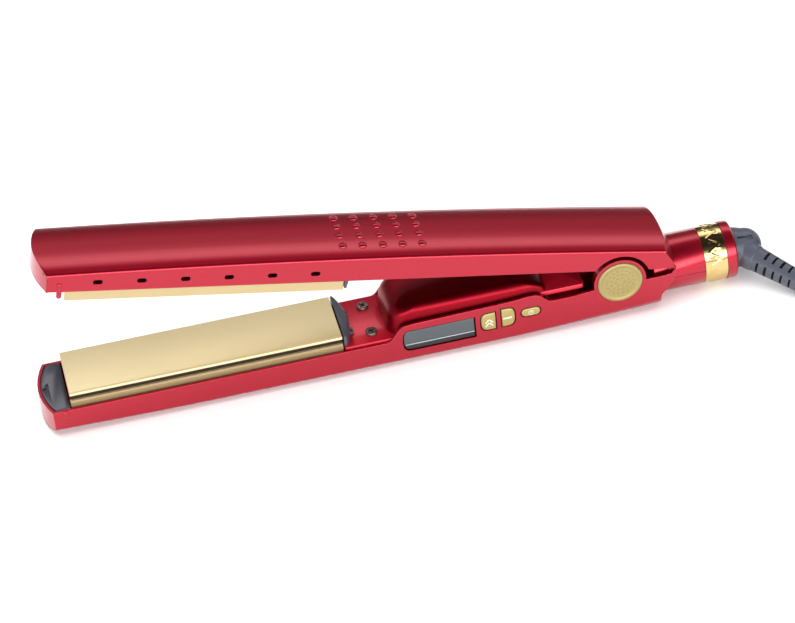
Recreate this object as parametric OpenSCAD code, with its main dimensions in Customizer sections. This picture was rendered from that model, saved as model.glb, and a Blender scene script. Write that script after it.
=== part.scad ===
// Hair straightening iron: two hinged arms with floating heating plates, a control panel
// on the lower arm's near side, and a swivel cord outlet at the tail.
// Origin: centre of the flat strip that the iron rests on. +X to the tail, +Z up, near side -Y.
// Every module draws in the hinge's own frame, with the hinge axis along Y through its origin
// and the arm closed and level; on_lower_arm() and on_upper_arm() put it in its place.

/* [Heating plates] */
// Length of each plate
plate_len = 127; // [110:1:140]
// Width of each plate
plate_w = 31.75; // [30:0.25:32]
// Gap between the two plates when the arms are closed
plate_gap = 0.2; // [0.1:0.1:1]

/* [Arms] */
// Outside width of both arms
arm_w = 37; // [36.5:0.5:39]
// Wall thickness of the housings
wall = 1.5; // [1.2:0.1:1.8]
// Distance from the hinge axis to the back edge of the plates
plate_back = 131; // [128:1:140]
// Angle between the arms when they are open
open_angle = 11.84; // [4:0.01:14]
// Height of the upper housing's crown over its side edges
crown_h = 2; // [0.5:0.1:3]

/* [Hinge] */
// Radius of the boss that each side of the hinge turns in
boss_r = 12.4; // [11.5:0.1:13]
// Radius of the round hinge caps
cap_r = 10.7; // [8:0.1:11]
// Radius of the hinge pin
pin_r = 3; // [2:0.1:3.5]

/* [Tail and swivel] */
// Radius of the tail barrel
barrel_r = 13.2; // [13.2:0.05:13.4]
// Radius of the swivel elbow
elbow_r = 9.7; // [9.6:0.05:10]
// Radius of the elbow's rounded end
dome_r = 8.2; // [8:0.1:8.4]
// Turn of the strain relief about the vertical
relief_turn = -48.5; // [-60:0.5:60]
// Downward slope of the strain relief
relief_dip = 11; // [0:0.5:12]

/* [Cord] */
// Diameter of the cord
cord_d = 6; // [5:0.5:6]
// Centre radius of the middle turn of the coil
coil_r = 36; // [33:1:40]

/* [Hidden] */

$fn = 64;
eps = 0.01;
far = 60;           // longer than any width or height that a cut has to pass

// Frame: the hinge axis over the rest face's centre
hinge_x = 125;
belly_z = -22.2;    // bottom of the lower arm in the hinge's frame
hinge_z = -belly_z;

// Arms, in plan
half_w = arm_w / 2;
in_half = half_w - wall;
plate_front = -(plate_back + plate_len);
tip_x = plate_front - 13.2;     // foremost point of both arms
tip_sag = 4.4;                  // the tip's corners lie this far behind it
heel_x = 27.8;                  // rearmost point of the upper arm
heel_sag = 2.4;
cover_foot = -plate_back + 21.5; // front of the raised inner cover

// Arms, in height
rim_z = 6.4;        // the upper walls' lower edge
tray_z = 7.2;       // the lower walls' upper edge beside the plate, below the hinge axis
top_z = 19.1;       // highest point of the upper side edges
top_x = -112;       // where that is
bow_r = 3850;       // radius of the upper edge's long bow
edge_w = 0.6;       // bevel between the crown and the side wall

// Plate groups: one pattern for both arms, z away from the closed plates' meeting plane
plate_half = plate_w / 2;
plate_z0 = plate_gap / 2;
plate_z1 = 6;       // back of the plate's skirts
carrier_z1 = 9;     // back of the carrier
seat_z = 13;        // where the float springs stand on the housing
floor_z = 6;        // screw floor behind the plates
floor_t = 2;
spring_spots = [for (x = [plate_front + 13, -plate_back - 14], y = [-8, 8]) [x, y]];
cover_screw_x = -plate_back + 14.5;
cover_screw_y = 9.8;
tip_screw_x = tip_x + 5.9;
lead_d = 1.6;

// Hinge
ear_y = 14.5;       // inner face of the lower arm's ears
lug_y0 = 9;         // the upper arm's lugs
lug_y1 = 13.9;
arch_r = boss_r + 1.8;
bush_r = pin_r + 1.5;
run_gap = 0.05;     // radial clearance of a running fit

// Controls, on the near wall: x and z ranges of each opening
window_x = [cover_foot + 6, cover_foot + 40];
window_z = [-14, -3];
key_gap = 0.15;
key_travel = 0.5;
up_key = [[cover_foot + 42.7, -11.7], [cover_foot + 49.9, -2]];
down_key = [[cover_foot + 52.5, -11.6], [cover_foot + 59.1, -1.3]];
power_key = [[cover_foot + 61.9, -8.6], [cover_foot + 71.2, -3.8]];
board_y = -13.4;    // front of the control board

// Tail, along X
tail_z = -8.6;
tail_x0 = 20;
tail_bore_r = 10.8;
band_x = 42.6;
ring_x = 53.3;
ring_end = 58.5;
ring_r = tail_z - belly_z;  // the end ring stands on the same plane as the belly
neck_r = 12.4;
shaft_r = 9.5;
elbow_x = 65;
stub_r = 4;
slip_r = 5.2;
slip_x = [35, 40.5];
slip_w = 2.5;

// Strain relief, measured along its own line from where that leaves the tail's axis
relief_x = 60.2;
relief_t0 = 8.3;
relief_t1 = 50;
relief_r0 = 6.4;
relief_r1 = 4;

// Cord, in the row's own frame; the stretch to the plug is measured from the coil's centre
lead_route = [[217.2, -36.2, 4.2], [220.2, -39.6, 3.7], [223.2, -43, 3.3],
              [226.2, -46.4, 3.05], [229.2, -49.8, 3], [232.2, -52.8, 3]];
tail_route = [[-7.5, -43.8, 21.2], [0, -44.9, 21.7], [5, -44.4, 22.6], [11.2, -43.2, 24],
              [17, -40.8, 25.6], [22, -37, 27], [25.8, -32, 28.4], [28.2, -26.2, 29.7],
              [29, -20, 30.8]];
coil_at = [266.7, -19, 0];
coil_rows = 4;
plug_at = [29, -20, 31];        // rear end of the plug's collar; the pins point to +Y
plug_w = 35;
plug_t = 14;
pin_pitch = 18.6;
plug_pin_r = 2;
plug_pin_len = 19;

red = "#B02438";
dark_red = "#7A1020";
gold = "#DCCB8A";
slate = "#565A68";

// ---- helpers ----

module on_lower_arm() translate([hinge_x, 0, hinge_z]) children();

module on_upper_arm() on_lower_arm() rotate([0, open_angle, 0]) children();

// A 2D side view in X and Z, given the width along Y
module from_side(width) rotate([90, 0, 0]) linear_extrude(width, center = true) children();

// A 2D side view given its own span along Y
module from_side_between(y0, y1) translate([0, y1, 0]) rotate([90, 0, 0])
    linear_extrude(y1 - y0) children();

// A 2D section in Y and Z, run along X
module along_x(x0, x1) translate([x0, 0, 0]) rotate([90, 0, 90]) linear_extrude(x1 - x0)
    children();

// A turned shape about the tail's axis, from [radius, x] points
module tail_lathe(points) translate([0, 0, tail_z]) rotate([0, 90, 0])
    rotate_extrude() polygon(points);

module box(low, high) translate(low) cube(high - low);

// A straight pin along Y
module y_pin(r, y0, y1) translate([0, y1, 0]) rotate([90, 0, 0]) cylinder(r = r, h = y1 - y0);

// Plan of an arm: bowed at the tip and at the heel
function plan(half, front, back, back_sag, n = 16) = concat(
    [for (i = [0 : n]) let (k = 2 * i / n - 1) [front + tip_sag * k * k, half * k]],
    [for (i = [0 : n]) let (k = 1 - 2 * i / n) [back - back_sag * k * k, half * k]]);

// Height of the upper side edges
function top_edge(x) = top_z - pow(x - top_x, 2) / (2 * bow_r);

// Height of the crown across the arm, over its side edges
function crown_at(y, crown) = crown * (1 - pow(abs(y) / (half_w - edge_w), 2.6));

// Top of a boss that has to end inside the upper housing's roof
function boss_top(x, y) = top_edge(x) + crown_at(y, crown_h) - 0.7;

// Half a rounded belly: from the side wall round to a flat strip
function belly(half, edge, bottom, flat, n = 10) = concat(
    [[half, 20]],
    [for (i = [0 : n]) let (a = 90 * i / n)
        [flat + (half - flat) * cos(a), edge + (bottom - edge) * sin(a)]],
    [for (i = [0 : n]) let (a = 90 - 90 * i / n)
        [-flat - (half - flat) * cos(a), edge + (bottom - edge) * sin(a)]],
    [[-half, 20]]);

function unit(v) = v / norm(v);

// Rings of a round tube along points; up is any direction that the tube never points in
module sweep_tube(points, r, sides, up = [0, 0, 1]) {
    last = len(points) - 1;
    rings = [for (i = [0 : last]) let (
        dir = unit(points[min(i + 1, last)] - points[max(i - 1, 0)]),
        side = unit(cross(up, dir)),
        rise = cross(dir, side))
        [for (k = [0 : sides - 1]) let (a = 360 * k / sides)
            points[i] + r * (cos(a) * side + sin(a) * rise)]];
    faces = concat(
        [[for (k = [sides - 1 : -1 : 0]) k]],
        [for (i = [0 : last - 1], k = [0 : sides - 1]) let (
            a = i * sides + k, b = i * sides + (k + 1) % sides)
            [a, b, b + sides, a + sides]],
        [[for (k = [0 : sides - 1]) last * sides + k]]);
    polyhedron(points = [for (ring = rings, p = ring) p], faces = faces, convexity = 8);
}

// A coil spring standing on z = 0
module coil_spring(r, wire_r, height, turns, steps = 12, sides = 6) {
    sweep_tube([for (i = [0 : turns * steps]) let (a = 360 * i / steps)
        [r * cos(a), r * sin(a),
         wire_r + (height - 2 * wire_r) * i / (turns * steps)]], wire_r, sides);
}

// ---- upper housing ----

// Everything under a crown that is bowed along the arm
module crowned(half, drop, crown) {
    r0 = bow_r - drop;
    sweep = 5;
    section = concat(
        [[r0 - far, -half], [r0 - edge_w, -half]],
        [for (i = [-8 : 8]) let (y = i / 8 * (half_w - edge_w), w = i / 8 * (half - edge_w))
            [r0 + crown_at(y, crown), w]],
        [[r0 - edge_w, half], [r0 - far, half]]);
    translate([top_x, 0, top_z - bow_r]) rotate([90, 0, 0]) rotate([0, 0, 90 - sweep / 2])
        rotate_extrude(angle = sweep, $fn = 1440) polygon(section);
}

module upper_housing() color(red) on_upper_arm() {
    outer_side = [[tip_x - 1, rim_z], [14, rim_z], [heel_x, 7], [heel_x - 1, 9.9],
                  [heel_x - 6.9, 17.6], [heel_x - 6.9, 40], [tip_x - 1, 40]];
    difference() {
        union() {
            difference() {
                intersection() {
                    crowned(half_w, 0, crown_h);
                    linear_extrude(40) polygon(plan(half_w, tip_x, heel_x, heel_sag));
                    from_side(far) polygon(outer_side);
                }
                intersection() {
                    crowned(in_half, wall, crown_h);
                    linear_extrude(40) polygon(plan(in_half, tip_x + wall, heel_x - 9, heel_sag));
                }
            }
            for (s = spring_spots)
                translate([s.x, s.y, seat_z]) cylinder(r = 4, h = boss_top(s.x, s.y) - seat_z);
            for (side = [-1, 1])
                translate([cover_screw_x, side * cover_screw_y, floor_z + floor_t])
                    cylinder(r = 3.2, h = boss_top(cover_screw_x, cover_screw_y) - floor_z - floor_t);
            translate([tip_screw_x, 0, 11]) cylinder(r = 3, h = boss_top(tip_screw_x, 0) - 11);
            for (side = [0, 1]) mirror([0, side, 0]) hinge_lug();
        }
        for (side = [-1, 1])
            translate([cover_screw_x, side * cover_screw_y, 0]) cylinder(r = 1.4, h = 14);
        translate([tip_screw_x, 0, 0]) cylinder(r = 1.1, h = 13.5);
        y_pin(bush_r, -lug_y1 - 1, lug_y1 + 1);
        for (side = [0, 1]) mirror([0, side, 0]) y_pin(arch_r, 14.2, far / 2);
        for (k = [0 : 5]) vent_hole(plate_front + 14 + 19.75 * k);
        // room for the tail barrel under the heel
        box([heel_x - 17, -14.2, 0], [heel_x + 5, 14.2, 11.6]);
    }
}

module hinge_lug() {
    y_pin(8, lug_y0, lug_y1);
    box([-8, lug_y0, 0], [8, lug_y1, top_edge(0) - 0.4]);
}

// An oval vent through both side walls
module vent_hole(x) translate([x, 0, 11.4]) from_side(far) {
    square([2, 2.4], center = true);
    for (side = [-1, 1]) translate([side, 0]) circle(r = 1.2);
}

module upper_inner_cover() color(dark_red) on_upper_arm() difference() {
    union() {
        box([-plate_back + 0.6, -in_half + 0.1, floor_z],
            [cover_foot - 1.5, in_half - 0.1, floor_z + floor_t]);
        box([cover_foot - 3, -in_half + 0.1, floor_z], [cover_foot - 1.5, in_half - 0.1, 13.5]);
        box([cover_foot - 3, -in_half + 0.1, 12], [-20, in_half - 0.1, 13.5]);
    }
    for (side = [-1, 1])
        translate([cover_screw_x, side * cover_screw_y, 0]) cylinder(r = 1.6, h = 20);
}

module upper_tip_cap() color(slate) on_upper_arm() tip_cap();

module upper_rear_cap() color(slate) on_upper_arm() rear_cap();

module upper_screws() color("#2A2A2E") on_upper_arm() arm_screws();

module upper_leads() color("#C8C0B0") on_upper_arm()
    leads([[-plate_back, 9.2], [cover_foot - 7, 9.2], [cover_foot - 4.5, 13.8], [-22, 13.8]]);

module thermal_fuse() color("#D8D4C0") on_upper_arm()
    translate([cover_screw_x - 7, 0, floor_z + floor_t + 1.2]) rotate([0, 90, 0])
        cylinder(r = 1.2, h = 10);

module upper_float_springs() color("silver") on_upper_arm() float_springs();

module hinge_bushes() color("#D8C89C") on_upper_arm() for (side = [0, 1])
    mirror([0, side, 0]) difference() {
        y_pin(bush_r, lug_y0, lug_y1);
        y_pin(pin_r + run_gap, 0, far / 2);
    }

// ---- what both arms share, drawn for the upper arm ----

module tip_cap() {
    cap_plan = plan(in_half - 0.05, tip_x + wall + 0.05, plate_front - 0.6, 0);
    difference() {
        union() {
            translate([0, 0, 7]) linear_extrude(4) polygon(cap_plan);
            box([plate_front - 3.6, -plate_half, 2], [plate_front - 0.6, plate_half, 7 + eps]);
        }
        translate([tip_screw_x, 0, 0]) cylinder(r = 1.2, h = 20);
        translate([tip_screw_x, 0, 0]) cylinder(r = 2.1, h = 8.4);
    }
}

module rear_cap() {
    flat_x = -plate_back + 0.6;
    outline = concat([[flat_x, -plate_half]],
        [for (i = [0 : 12]) let (k = i / 6 - 1) [flat_x + 1.6 + 3.7 * (1 - k * k), plate_half * k]],
        [[flat_x, plate_half]]);
    translate([0, 0, 0.5]) linear_extrude(floor_z - 0.5) polygon(outline);
    for (side = [-1, 1])
        box([flat_x + 3, side * 9 - 1.5, 3], [flat_x + 6.6, side * 9 + 1.5, floor_z]);
}

module arm_screws() {
    for (side = [-1, 1]) translate([cover_screw_x, side * cover_screw_y, 0]) {
        translate([0, 0, floor_z]) cylinder(r = 1.4, h = 8);
        difference() {
            translate([0, 0, floor_z - 1.6]) cylinder(r = 2.8, h = 1.6);
            translate([0, 0, floor_z - 1.7]) cross_slot(3.4, 0.8);
        }
    }
    translate([tip_screw_x, 0, 0]) {
        translate([0, 0, 8.4]) cylinder(r = 1.1, h = 4.6);
        difference() {
            translate([0, 0, 7.3]) cylinder(r = 2, h = 1.1);
            translate([0, 0, 7.2]) cross_slot(2.4, 0.6);
        }
    }
}

module cross_slot(span, width) for (turn = [0, 90]) rotate(turn)
    translate([-span / 2, -width / 2, 0]) cube([span, width, 0.9]);

module heating_plate() {
    skirt = plate_half - 2;
    right = [[plate_half - 1.2, plate_z0], [plate_half - 0.35, plate_z0 + 0.35],
             [plate_half, plate_z0 + 1.2], [plate_half, 2.1], [plate_half - 0.7, 2.3],
             [plate_half - 0.7, 2.7], [plate_half, 2.9], [plate_half, plate_z1],
             [skirt, plate_z1], [skirt, 2.6]];
    left = [for (i = [len(right) - 1 : -1 : 0]) [-right[i].x, right[i].y]];
    along_x(plate_front, -plate_back) polygon(concat(right, left));
}

module carrier() difference() {
    union() {
        box([plate_front + 1, -15.4, plate_z1], [-plate_back - 1, 15.4, carrier_z1]);
        for (s = spring_spots) translate([s.x, s.y, carrier_z1]) cylinder(r = 1.8, h = 2);
    }
    box([plate_front + 3, -13, 0], [-plate_back - 3, 13, plate_z1 + 1.2]);
}

module heater() box([plate_front + 8, -9, 2.6], [-plate_back - 9, 9, 5]);

module heater_clip() box([plate_front + 12, -7.5, 5], [-plate_back - 13, 7.5, 5.5]);

module thermistor() translate([-plate_back - plate_len / 2, 11.4, 3.7]) rotate([0, 90, 0])
    cylinder(r = 1, h = 6);

module float_springs() for (s = spring_spots)
    translate([s.x, s.y, carrier_z1]) coil_spring(2.8, 0.35, seat_z - carrier_z1, 3);

// A pair of insulated leads that follow a line in the side view
module leads(line) for (side = [-1, 1]) from_side_between(side * 4 - lead_d / 2, side * 4 + lead_d / 2)
    polygon(concat(line, [for (i = [len(line) - 1 : -1 : 0]) line[i] + [0, lead_d]]));

module upper_plate() color(gold) on_upper_arm() heating_plate();

module upper_carrier() color("#3A3A40") on_upper_arm() carrier();

module upper_heater() color("#E8E4DC") on_upper_arm() heater();

module upper_heater_clip() color("silver") on_upper_arm() heater_clip();

module upper_thermistor() color("#B06030") on_upper_arm() thermistor();

// ---- lower arm ----

module on_lower_flipped() on_lower_arm() mirror([0, 0, 1]) children();

module lower_plate() color(gold) on_lower_flipped() heating_plate();

module lower_carrier() color("#3A3A40") on_lower_flipped() carrier();

module lower_heater() color("#E8E4DC") on_lower_flipped() heater();

module lower_heater_clip() color("silver") on_lower_flipped() heater_clip();

module lower_thermistor() color("#B06030") on_lower_flipped() thermistor();

module lower_tip_cap() color(slate) on_lower_flipped() tip_cap();

module lower_rear_cap() color(slate) on_lower_flipped() rear_cap();

module lower_screws() color("#2A2A2E") on_lower_flipped() arm_screws();

module lower_float_springs() color("silver") on_lower_flipped() float_springs();

// One station of the lower arm's outside
module lower_station(x, edge, bottom, flat)
    along_x(x, x + eps) polygon(belly(half_w, edge, bottom, flat));

module lower_outside() {
    stations = [[tip_x - 1, -16.2, -20.7, 8], [-190, -17.6, belly_z, 9], [-60, -17.6, belly_z, 9],
                [-10, -15.5, belly_z, 7], [heel_x + 2, -12.4, belly_z + 0.2, 4]];
    for (i = [0 : len(stations) - 2]) hull() {
        a = stations[i];
        b = stations[i + 1];
        lower_station(a[0], a[1], a[2], a[3]);
        lower_station(b[0], b[1], b[2], b[3]);
    }
}

// Side view of the lower arm's walls: low beside the plate, high round the controls
lower_side = [
    [tip_x - 1, -tray_z], [cover_foot - 0.5, -tray_z], [cover_foot + 2.5, -3.7],
    [cover_foot + 4.9, -0.9], [cover_foot + 7.9, 0.5], [cover_foot + 36.5, 1.3], [-42, 2.6],
    [-38.6, 1.9], [-35.8, -0.7], [-33, -2.5], [-24, -2.8], [-12, -1.7], [12, -1.7],
    [23.6, -1.1], [heel_x + 1.5, -1.1], [heel_x - 0.7, -7], [heel_x - 3.6, -10.3],
    [heel_x - 6.1, -12.9], [heel_x - 6.1, -far], [tip_x - 1, -far]];

inside_side = [
    [tip_x, 30], [tip_x, -18.9], [-190, -20.6], [-16, -20.6], [-16, 30]];

module lower_housing() color(red) on_lower_arm() difference() {
    union() {
        difference() {
            intersection() {
                lower_outside();
                translate([0, 0, -far / 2]) linear_extrude(far)
                    polygon(plan(half_w, tip_x, heel_x + 1.5, heel_sag));
                from_side(far) polygon(lower_side);
            }
            intersection() {
                along_x(tip_x, -16) polygon(belly(in_half, -16, -20.6, 8));
                translate([0, 0, -far / 2]) linear_extrude(far)
                    polygon(plan(in_half, tip_x + wall, 0, 0));
                from_side(far) polygon(inside_side);
            }
            along_x(-16 - eps, 19) polygon(belly(ear_y, -12, -19.8, 5));
            tail_lathe([[0, 18], [tail_bore_r, 18], [tail_bore_r, 45.6], [0, 45.6]]);
            intersection() {
                tail_lathe([[0, 18], [barrel_r + run_gap, 18], [barrel_r + run_gap, 50], [0, 50]]);
                box([0, -far, tail_z], [100, far, far]);
            }
        }
        for (side = [0, 1]) mirror([0, side, 0]) y_pin(boss_r, ear_y, half_w);
        intersection() {
            tail_tube();
            box([0, -far, tail_z - far], [100, far, tail_z]);
        }
        for (s = spring_spots) translate([s.x, s.y, -21]) cylinder(r = 4, h = 21 - seat_z);
        for (side = [-1, 1]) translate([cover_screw_x, side * cover_screw_y, -21])
            cylinder(r = 3.2, h = 21 - floor_z - floor_t);
        translate([tip_screw_x, 0, -19.6]) cylinder(r = 3, h = 8.6);
        for (spot = board_spots) translate([spot.x, spot.y, -21]) cylinder(r = 2.4, h = 2.4);
    }
    for (side = [-1, 1]) translate([cover_screw_x, side * cover_screw_y, -14])
        cylinder(r = 1.4, h = 14);
    translate([tip_screw_x, 0, -13.5]) cylinder(r = 1.1, h = 13.5);
    y_pin(pin_r, -far / 2, far / 2);
    for (side = [0, 1]) mirror([0, side, 0]) y_pin(cap_r + run_gap, half_w - 1, far / 2);
    near_wall_hole() window_shape();
    near_wall_hole() key_shape(up_key, "front");
    near_wall_hole() key_shape(down_key, "back");
    near_wall_hole() key_shape(power_key, "pill");
}

// Cuts a 2D side view through the near wall only
module near_wall_hole() from_side_between(-half_w - 5, -in_half + 0.5) children();

module window_shape(grow = 0)
    rounded_end([window_x[0], window_z[0]], [window_x[1], window_z[1]], "front", grow);

module key_shape(key, round_end, grow = 0) rounded_end(key[0], key[1], round_end, grow);

// A rectangle with its front, its back or both ends bowed out
module rounded_end(low, high, round_end, grow, n = 8) {
    r = (high.y - low.y) / 2 + grow;
    mid = (high.y + low.y) / 2;
    bow = round_end == "pill" ? r : 0.7 * r;
    x0 = low.x - grow + (round_end == "back" ? 0 : bow);
    x1 = high.x + grow - (round_end == "front" ? 0 : bow);
    front = round_end == "back" ? [[x0, mid + r], [x0, mid - r]]
        : [for (i = [0 : n]) let (a = 90 - 180 * i / n) [x0 - bow * cos(a), mid + r * sin(a)]];
    back = round_end == "front" ? [[x1, mid - r], [x1, mid + r]]
        : [for (i = [0 : n]) let (a = 180 * i / n - 90) [x1 + bow * cos(a), mid + r * sin(a)]];
    polygon(concat(front, back));
}

module tail_tube() tail_lathe([
    [tail_bore_r, tail_x0], [barrel_r, tail_x0], [barrel_r, band_x], [neck_r, band_x],
    [neck_r, ring_end - 2], [shaft_r + run_gap, ring_end - 2], [shaft_r + run_gap, 49.6],
    [11.2, 49.6], [11.2, 47.2], [6, 47.2], [6, 45.6], [tail_bore_r, 45.6]]);

module tail_top_cover() color(red) on_lower_arm() intersection() {
    tail_tube();
    box([0, -far, tail_z], [100, far, far]);
}

module tail_band() color(gold) on_lower_arm() tail_lathe([
    [neck_r, band_x], [barrel_r + 0.15, band_x], [barrel_r + 0.15, ring_x], [neck_r, ring_x]]);

module tail_end_ring() color(red) on_lower_arm() tail_lathe([
    [neck_r, ring_x], [ring_r, ring_x], [ring_r, ring_end - 0.5],
    [ring_r - 0.5, ring_end], [shaft_r + 0.06, ring_end],
    [shaft_r + 0.06, ring_end - 2], [neck_r, ring_end - 2]]);

module lower_inner_cover() color(dark_red) on_lower_arm() {
    hump = [[cover_foot, -floor_z], [cover_foot + 0.9, 1], [cover_foot + 2.6, 5],
            [cover_foot + 6, 7.6], [cover_foot + 12, 8.6], [-56, 8.6], [-44, 7.8], [-37, 5.6],
            [-34, 1.6], [-16.5, 1.6], [-16.5, -0.8], [cover_foot + 4.5, -0.8],
            [cover_foot + 4.5, -floor_z]];
    hollow = [[cover_foot + 3.4, -far], [cover_foot + 3.4, 4], [cover_foot + 7, 6.4],
              [cover_foot + 12, 7.1], [-57, 7.1], [-45, 6.3], [-38.5, 4.4], [-35.5, 0.1],
              [-18, 0.1], [-18, -far]];
    difference() {
        union() {
            box([-plate_back + 0.6, -in_half + 0.1, -floor_z - floor_t],
                [cover_foot + 3.4, in_half - 0.1, -floor_z]);
            from_side(31.8) polygon(hump);
        }
        from_side(28.8) polygon(hollow);
        for (side = [-1, 1])
            translate([cover_screw_x, side * cover_screw_y, -20]) cylinder(r = 1.6, h = 20);
    }
}

// ---- controls ----

module display_window() color("#555B63") on_lower_arm() {
    from_side_between(-half_w + 0.2, -in_half) window_shape(-0.1);
    from_side_between(-in_half, -in_half + 1) window_shape(0.8);
}

module display_module() color("#9AA8A0") on_lower_arm()
    box([window_x[0] + 2.5, -in_half + 1, window_z[0] + 0.5],
        [window_x[1] - 0.5, board_y, window_z[1] - 0.5]);

module control_board() color("#2E6B3C") on_lower_arm()
    box([window_x[0], board_y, -15], [-36, board_y + 1.6, -2.5]);

module tact_switches() color("#303034") on_lower_arm() for (key = [up_key, down_key, power_key])
    translate([(key[0].x + key[1].x) / 2, 0, (key[0].y + key[1].y) / 2]) {
        box([-2.2, board_y - 1.2, -2.2], [2.2, board_y, 2.2]);
        y_pin(0.9, board_y - 1.8, board_y - 1.2);
    }

module key(spec, round_end) {
    mid = [(spec[0].x + spec[1].x) / 2, 0, (spec[0].y + spec[1].y) / 2];
    from_side_between(-half_w - 0.5, -in_half + 0.1) key_shape(spec, round_end, -key_gap);
    from_side_between(-in_half + 0.1, -in_half + 0.8) key_shape(spec, round_end, 0.45);
    translate(mid) y_pin(1, -in_half + 0.8, board_y - 1.8 - key_travel - 0.05);
}

module up_button() color(gold) on_lower_arm() key(up_key, "front");

module down_button() color(gold) on_lower_arm() key(down_key, "back");

module power_button() color(gold) on_lower_arm() key(power_key, "pill");

// ---- power board ----

board_x = [-93, -30];
board_side = [-11.2, 12.8];
board_z = -18.6;
board_spots = [for (x = [board_x[0] + 4, board_x[1] - 4], y = [board_side[0] + 4, board_side[1] - 4])
    [x, y]];

module power_board() color("#2E6B3C") on_lower_arm() difference() {
    box([board_x[0], board_side[0], board_z], [board_x[1], board_side[1], board_z + 1.6]);
    for (spot = board_spots) translate([spot.x, spot.y, board_z - 1]) cylinder(r = 1.2, h = 4);
}

module board_parts() color("#30343C") on_lower_arm() translate([0, 0, board_z + 1.6]) {
    box([-62, -6, 0], [-44, 9, 10]);                                    // relay
    translate([-78, 3, 0]) cylinder(r = 5, h = 13);                     // capacitor
    box([-72, -8, 0], [-65, 8, 8]);                                     // choke
    box([-41, -3, 0], [-36.5, 7, 9]);                                   // switching device
}

module board_screws() color("silver") on_lower_arm() for (spot = board_spots)
    translate([spot.x, spot.y, board_z + 1.6]) {
        cylinder(r = 2, h = 1.2);
        translate([0, 0, -1.6]) cylinder(r = 1.1, h = 1.7);
    }

module lower_leads() color("#C8C0B0") on_lower_arm()
    leads([[-plate_back, -10.8], [-99, -10.8], [-92, board_z + 1.6], [-86, board_z + 1.6]]);

// ---- hinge ----

module hinge_pin() color("silver") on_lower_arm() difference() {
    y_pin(pin_r, -17, 17);
    for (side = [0, 1]) mirror([0, side, 0]) y_pin(1.5, 13, far / 2);
}

module hinge_sleeve() color("#222226") on_lower_arm() difference() {
    y_pin(pin_r + 1, -lug_y0 + 0.1, lug_y0 - 0.1);
    y_pin(pin_r, -far / 2, far / 2);
}

module hinge_washers() color("#E8E4DC") on_lower_arm() for (side = [0, 1])
    mirror([0, side, 0]) difference() {
        y_pin(6.5, lug_y1 + 0.05, ear_y);
        y_pin(pin_r, 0, far / 2);
    }

// A torsion spring round the sleeve: one leg under each arm's inner cover
module hinge_spring() color("#3A3A40") on_lower_arm() {
    wire = 0.9;
    r = 5.2;
    turns = 5;
    steps = 16;
    coil = [for (i = [0 : turns * steps]) let (a = 180 + 360 * i / steps)
        [r * cos(a), -6.5 + 13 * i / (turns * steps), r * sin(a)]];
    low_leg = [[-17, -7, -9], [-11, -6.9, -7], [-r - 0.6, -6.7, -3]];
    high_leg = [[-r - 0.6, 6.7, 3], [-9, 6.9, 9], [-13, 7, 13.5]];
    sweep_tube(concat(low_leg, coil, high_leg), wire, 8, [0, 1, 0]);
}

module hinge_cap() {
    y_pin(cap_r, half_w - 1, half_w + 0.4);
    difference() {
        y_pin(cap_r, half_w + 0.4 - eps, half_w + 0.7);
        y_pin(cap_r - 1.3, half_w, half_w + 2);
    }
    y_pin(1.5, 14, half_w);
}

module near_hinge_cap() color(gold) on_lower_arm() mirror([0, 1, 0]) hinge_cap();

module far_hinge_cap() color(gold) on_lower_arm() hinge_cap();

// ---- tail: swivel and strain relief ----

module swivel_brushes() color("#C89850") on_lower_arm() for (x = slip_x)
    intersection() {
        tail_lathe([[slip_r + 0.15, x], [tail_bore_r, x], [tail_bore_r, x + slip_w], [slip_r + 0.15, x + slip_w]]);
        box([0, -2, -far], [100, 2, tail_z]);
    }

module slip_rings() color("#D8A850") on_lower_arm() for (x = slip_x)
    tail_lathe([[stub_r, x], [slip_r, x], [slip_r, x + slip_w], [stub_r, x + slip_w]]);

// The strain relief's own line: z runs out of the elbow along the cord
module along_relief() translate([relief_x, 0, tail_z]) rotate([0, 0, relief_turn])
    rotate([0, 90 + relief_dip, 0]) children();

module swivel_elbow() color(slate) on_lower_arm() difference() {
    union() {
        tail_lathe([[0, 34], [stub_r, 34], [stub_r, 47.4], [11, 47.4], [11, 49.4],
                    [shaft_r, 49.4], [shaft_r, ring_end + 0.2], [elbow_r, ring_end + 0.2],
                    [elbow_r, elbow_x - 4.6], [dome_r, elbow_x], [0, elbow_x]]);
        translate([elbow_x, 0, tail_z]) sphere(r = dome_r);
        along_relief() cylinder(r = relief_r0 + 0.4, h = relief_t0);
    }
    along_relief() translate([0, 0, relief_t0]) cylinder(r = relief_r0 + 0.4, h = far / 2);
    translate([0, 0, tail_z]) rotate([26, 0, 0])
        box([elbow_x - 4.4, -0.6, dome_r - 1], [elbow_x + far / 2, 0.6, far]);
}

module strain_relief() color(slate) on_lower_arm() along_relief() difference() {
    translate([0, 0, relief_t0]) cylinder(r1 = relief_r0, r2 = relief_r1, h = relief_t1 - relief_t0);
    for (i = [0 : 5]) translate([0, 0, relief_t0 + 6 + 5.4 * i]) rotate(90 * i) relief_slot();
}

// A pair of slots that leave the core and two webs
module relief_slot() difference() {
    translate([-10, -10, 0]) cube([20, 20, 2]);
    translate([0, 0, -1]) cylinder(r = 3.3, h = 4);
    translate([-10, -1.3, -1]) cube([20, 2.6, 4]);
}

// ---- cord, in the row's own frame ----

module power_cord() color("#3A3C44") sweep_tube(lead_route, cord_d / 2, 12);

module cord_tail() color("#3A3C44") translate(coil_at) sweep_tube(tail_route, cord_d / 2, 12);

// Three turns lie side by side, and the layers shift a little against each other
coil_w = 3.8 * cord_d;
coil_in = coil_r - coil_w / 2;
coil_out = coil_r + coil_w / 2;
coil_h = coil_rows * cord_d;

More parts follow.
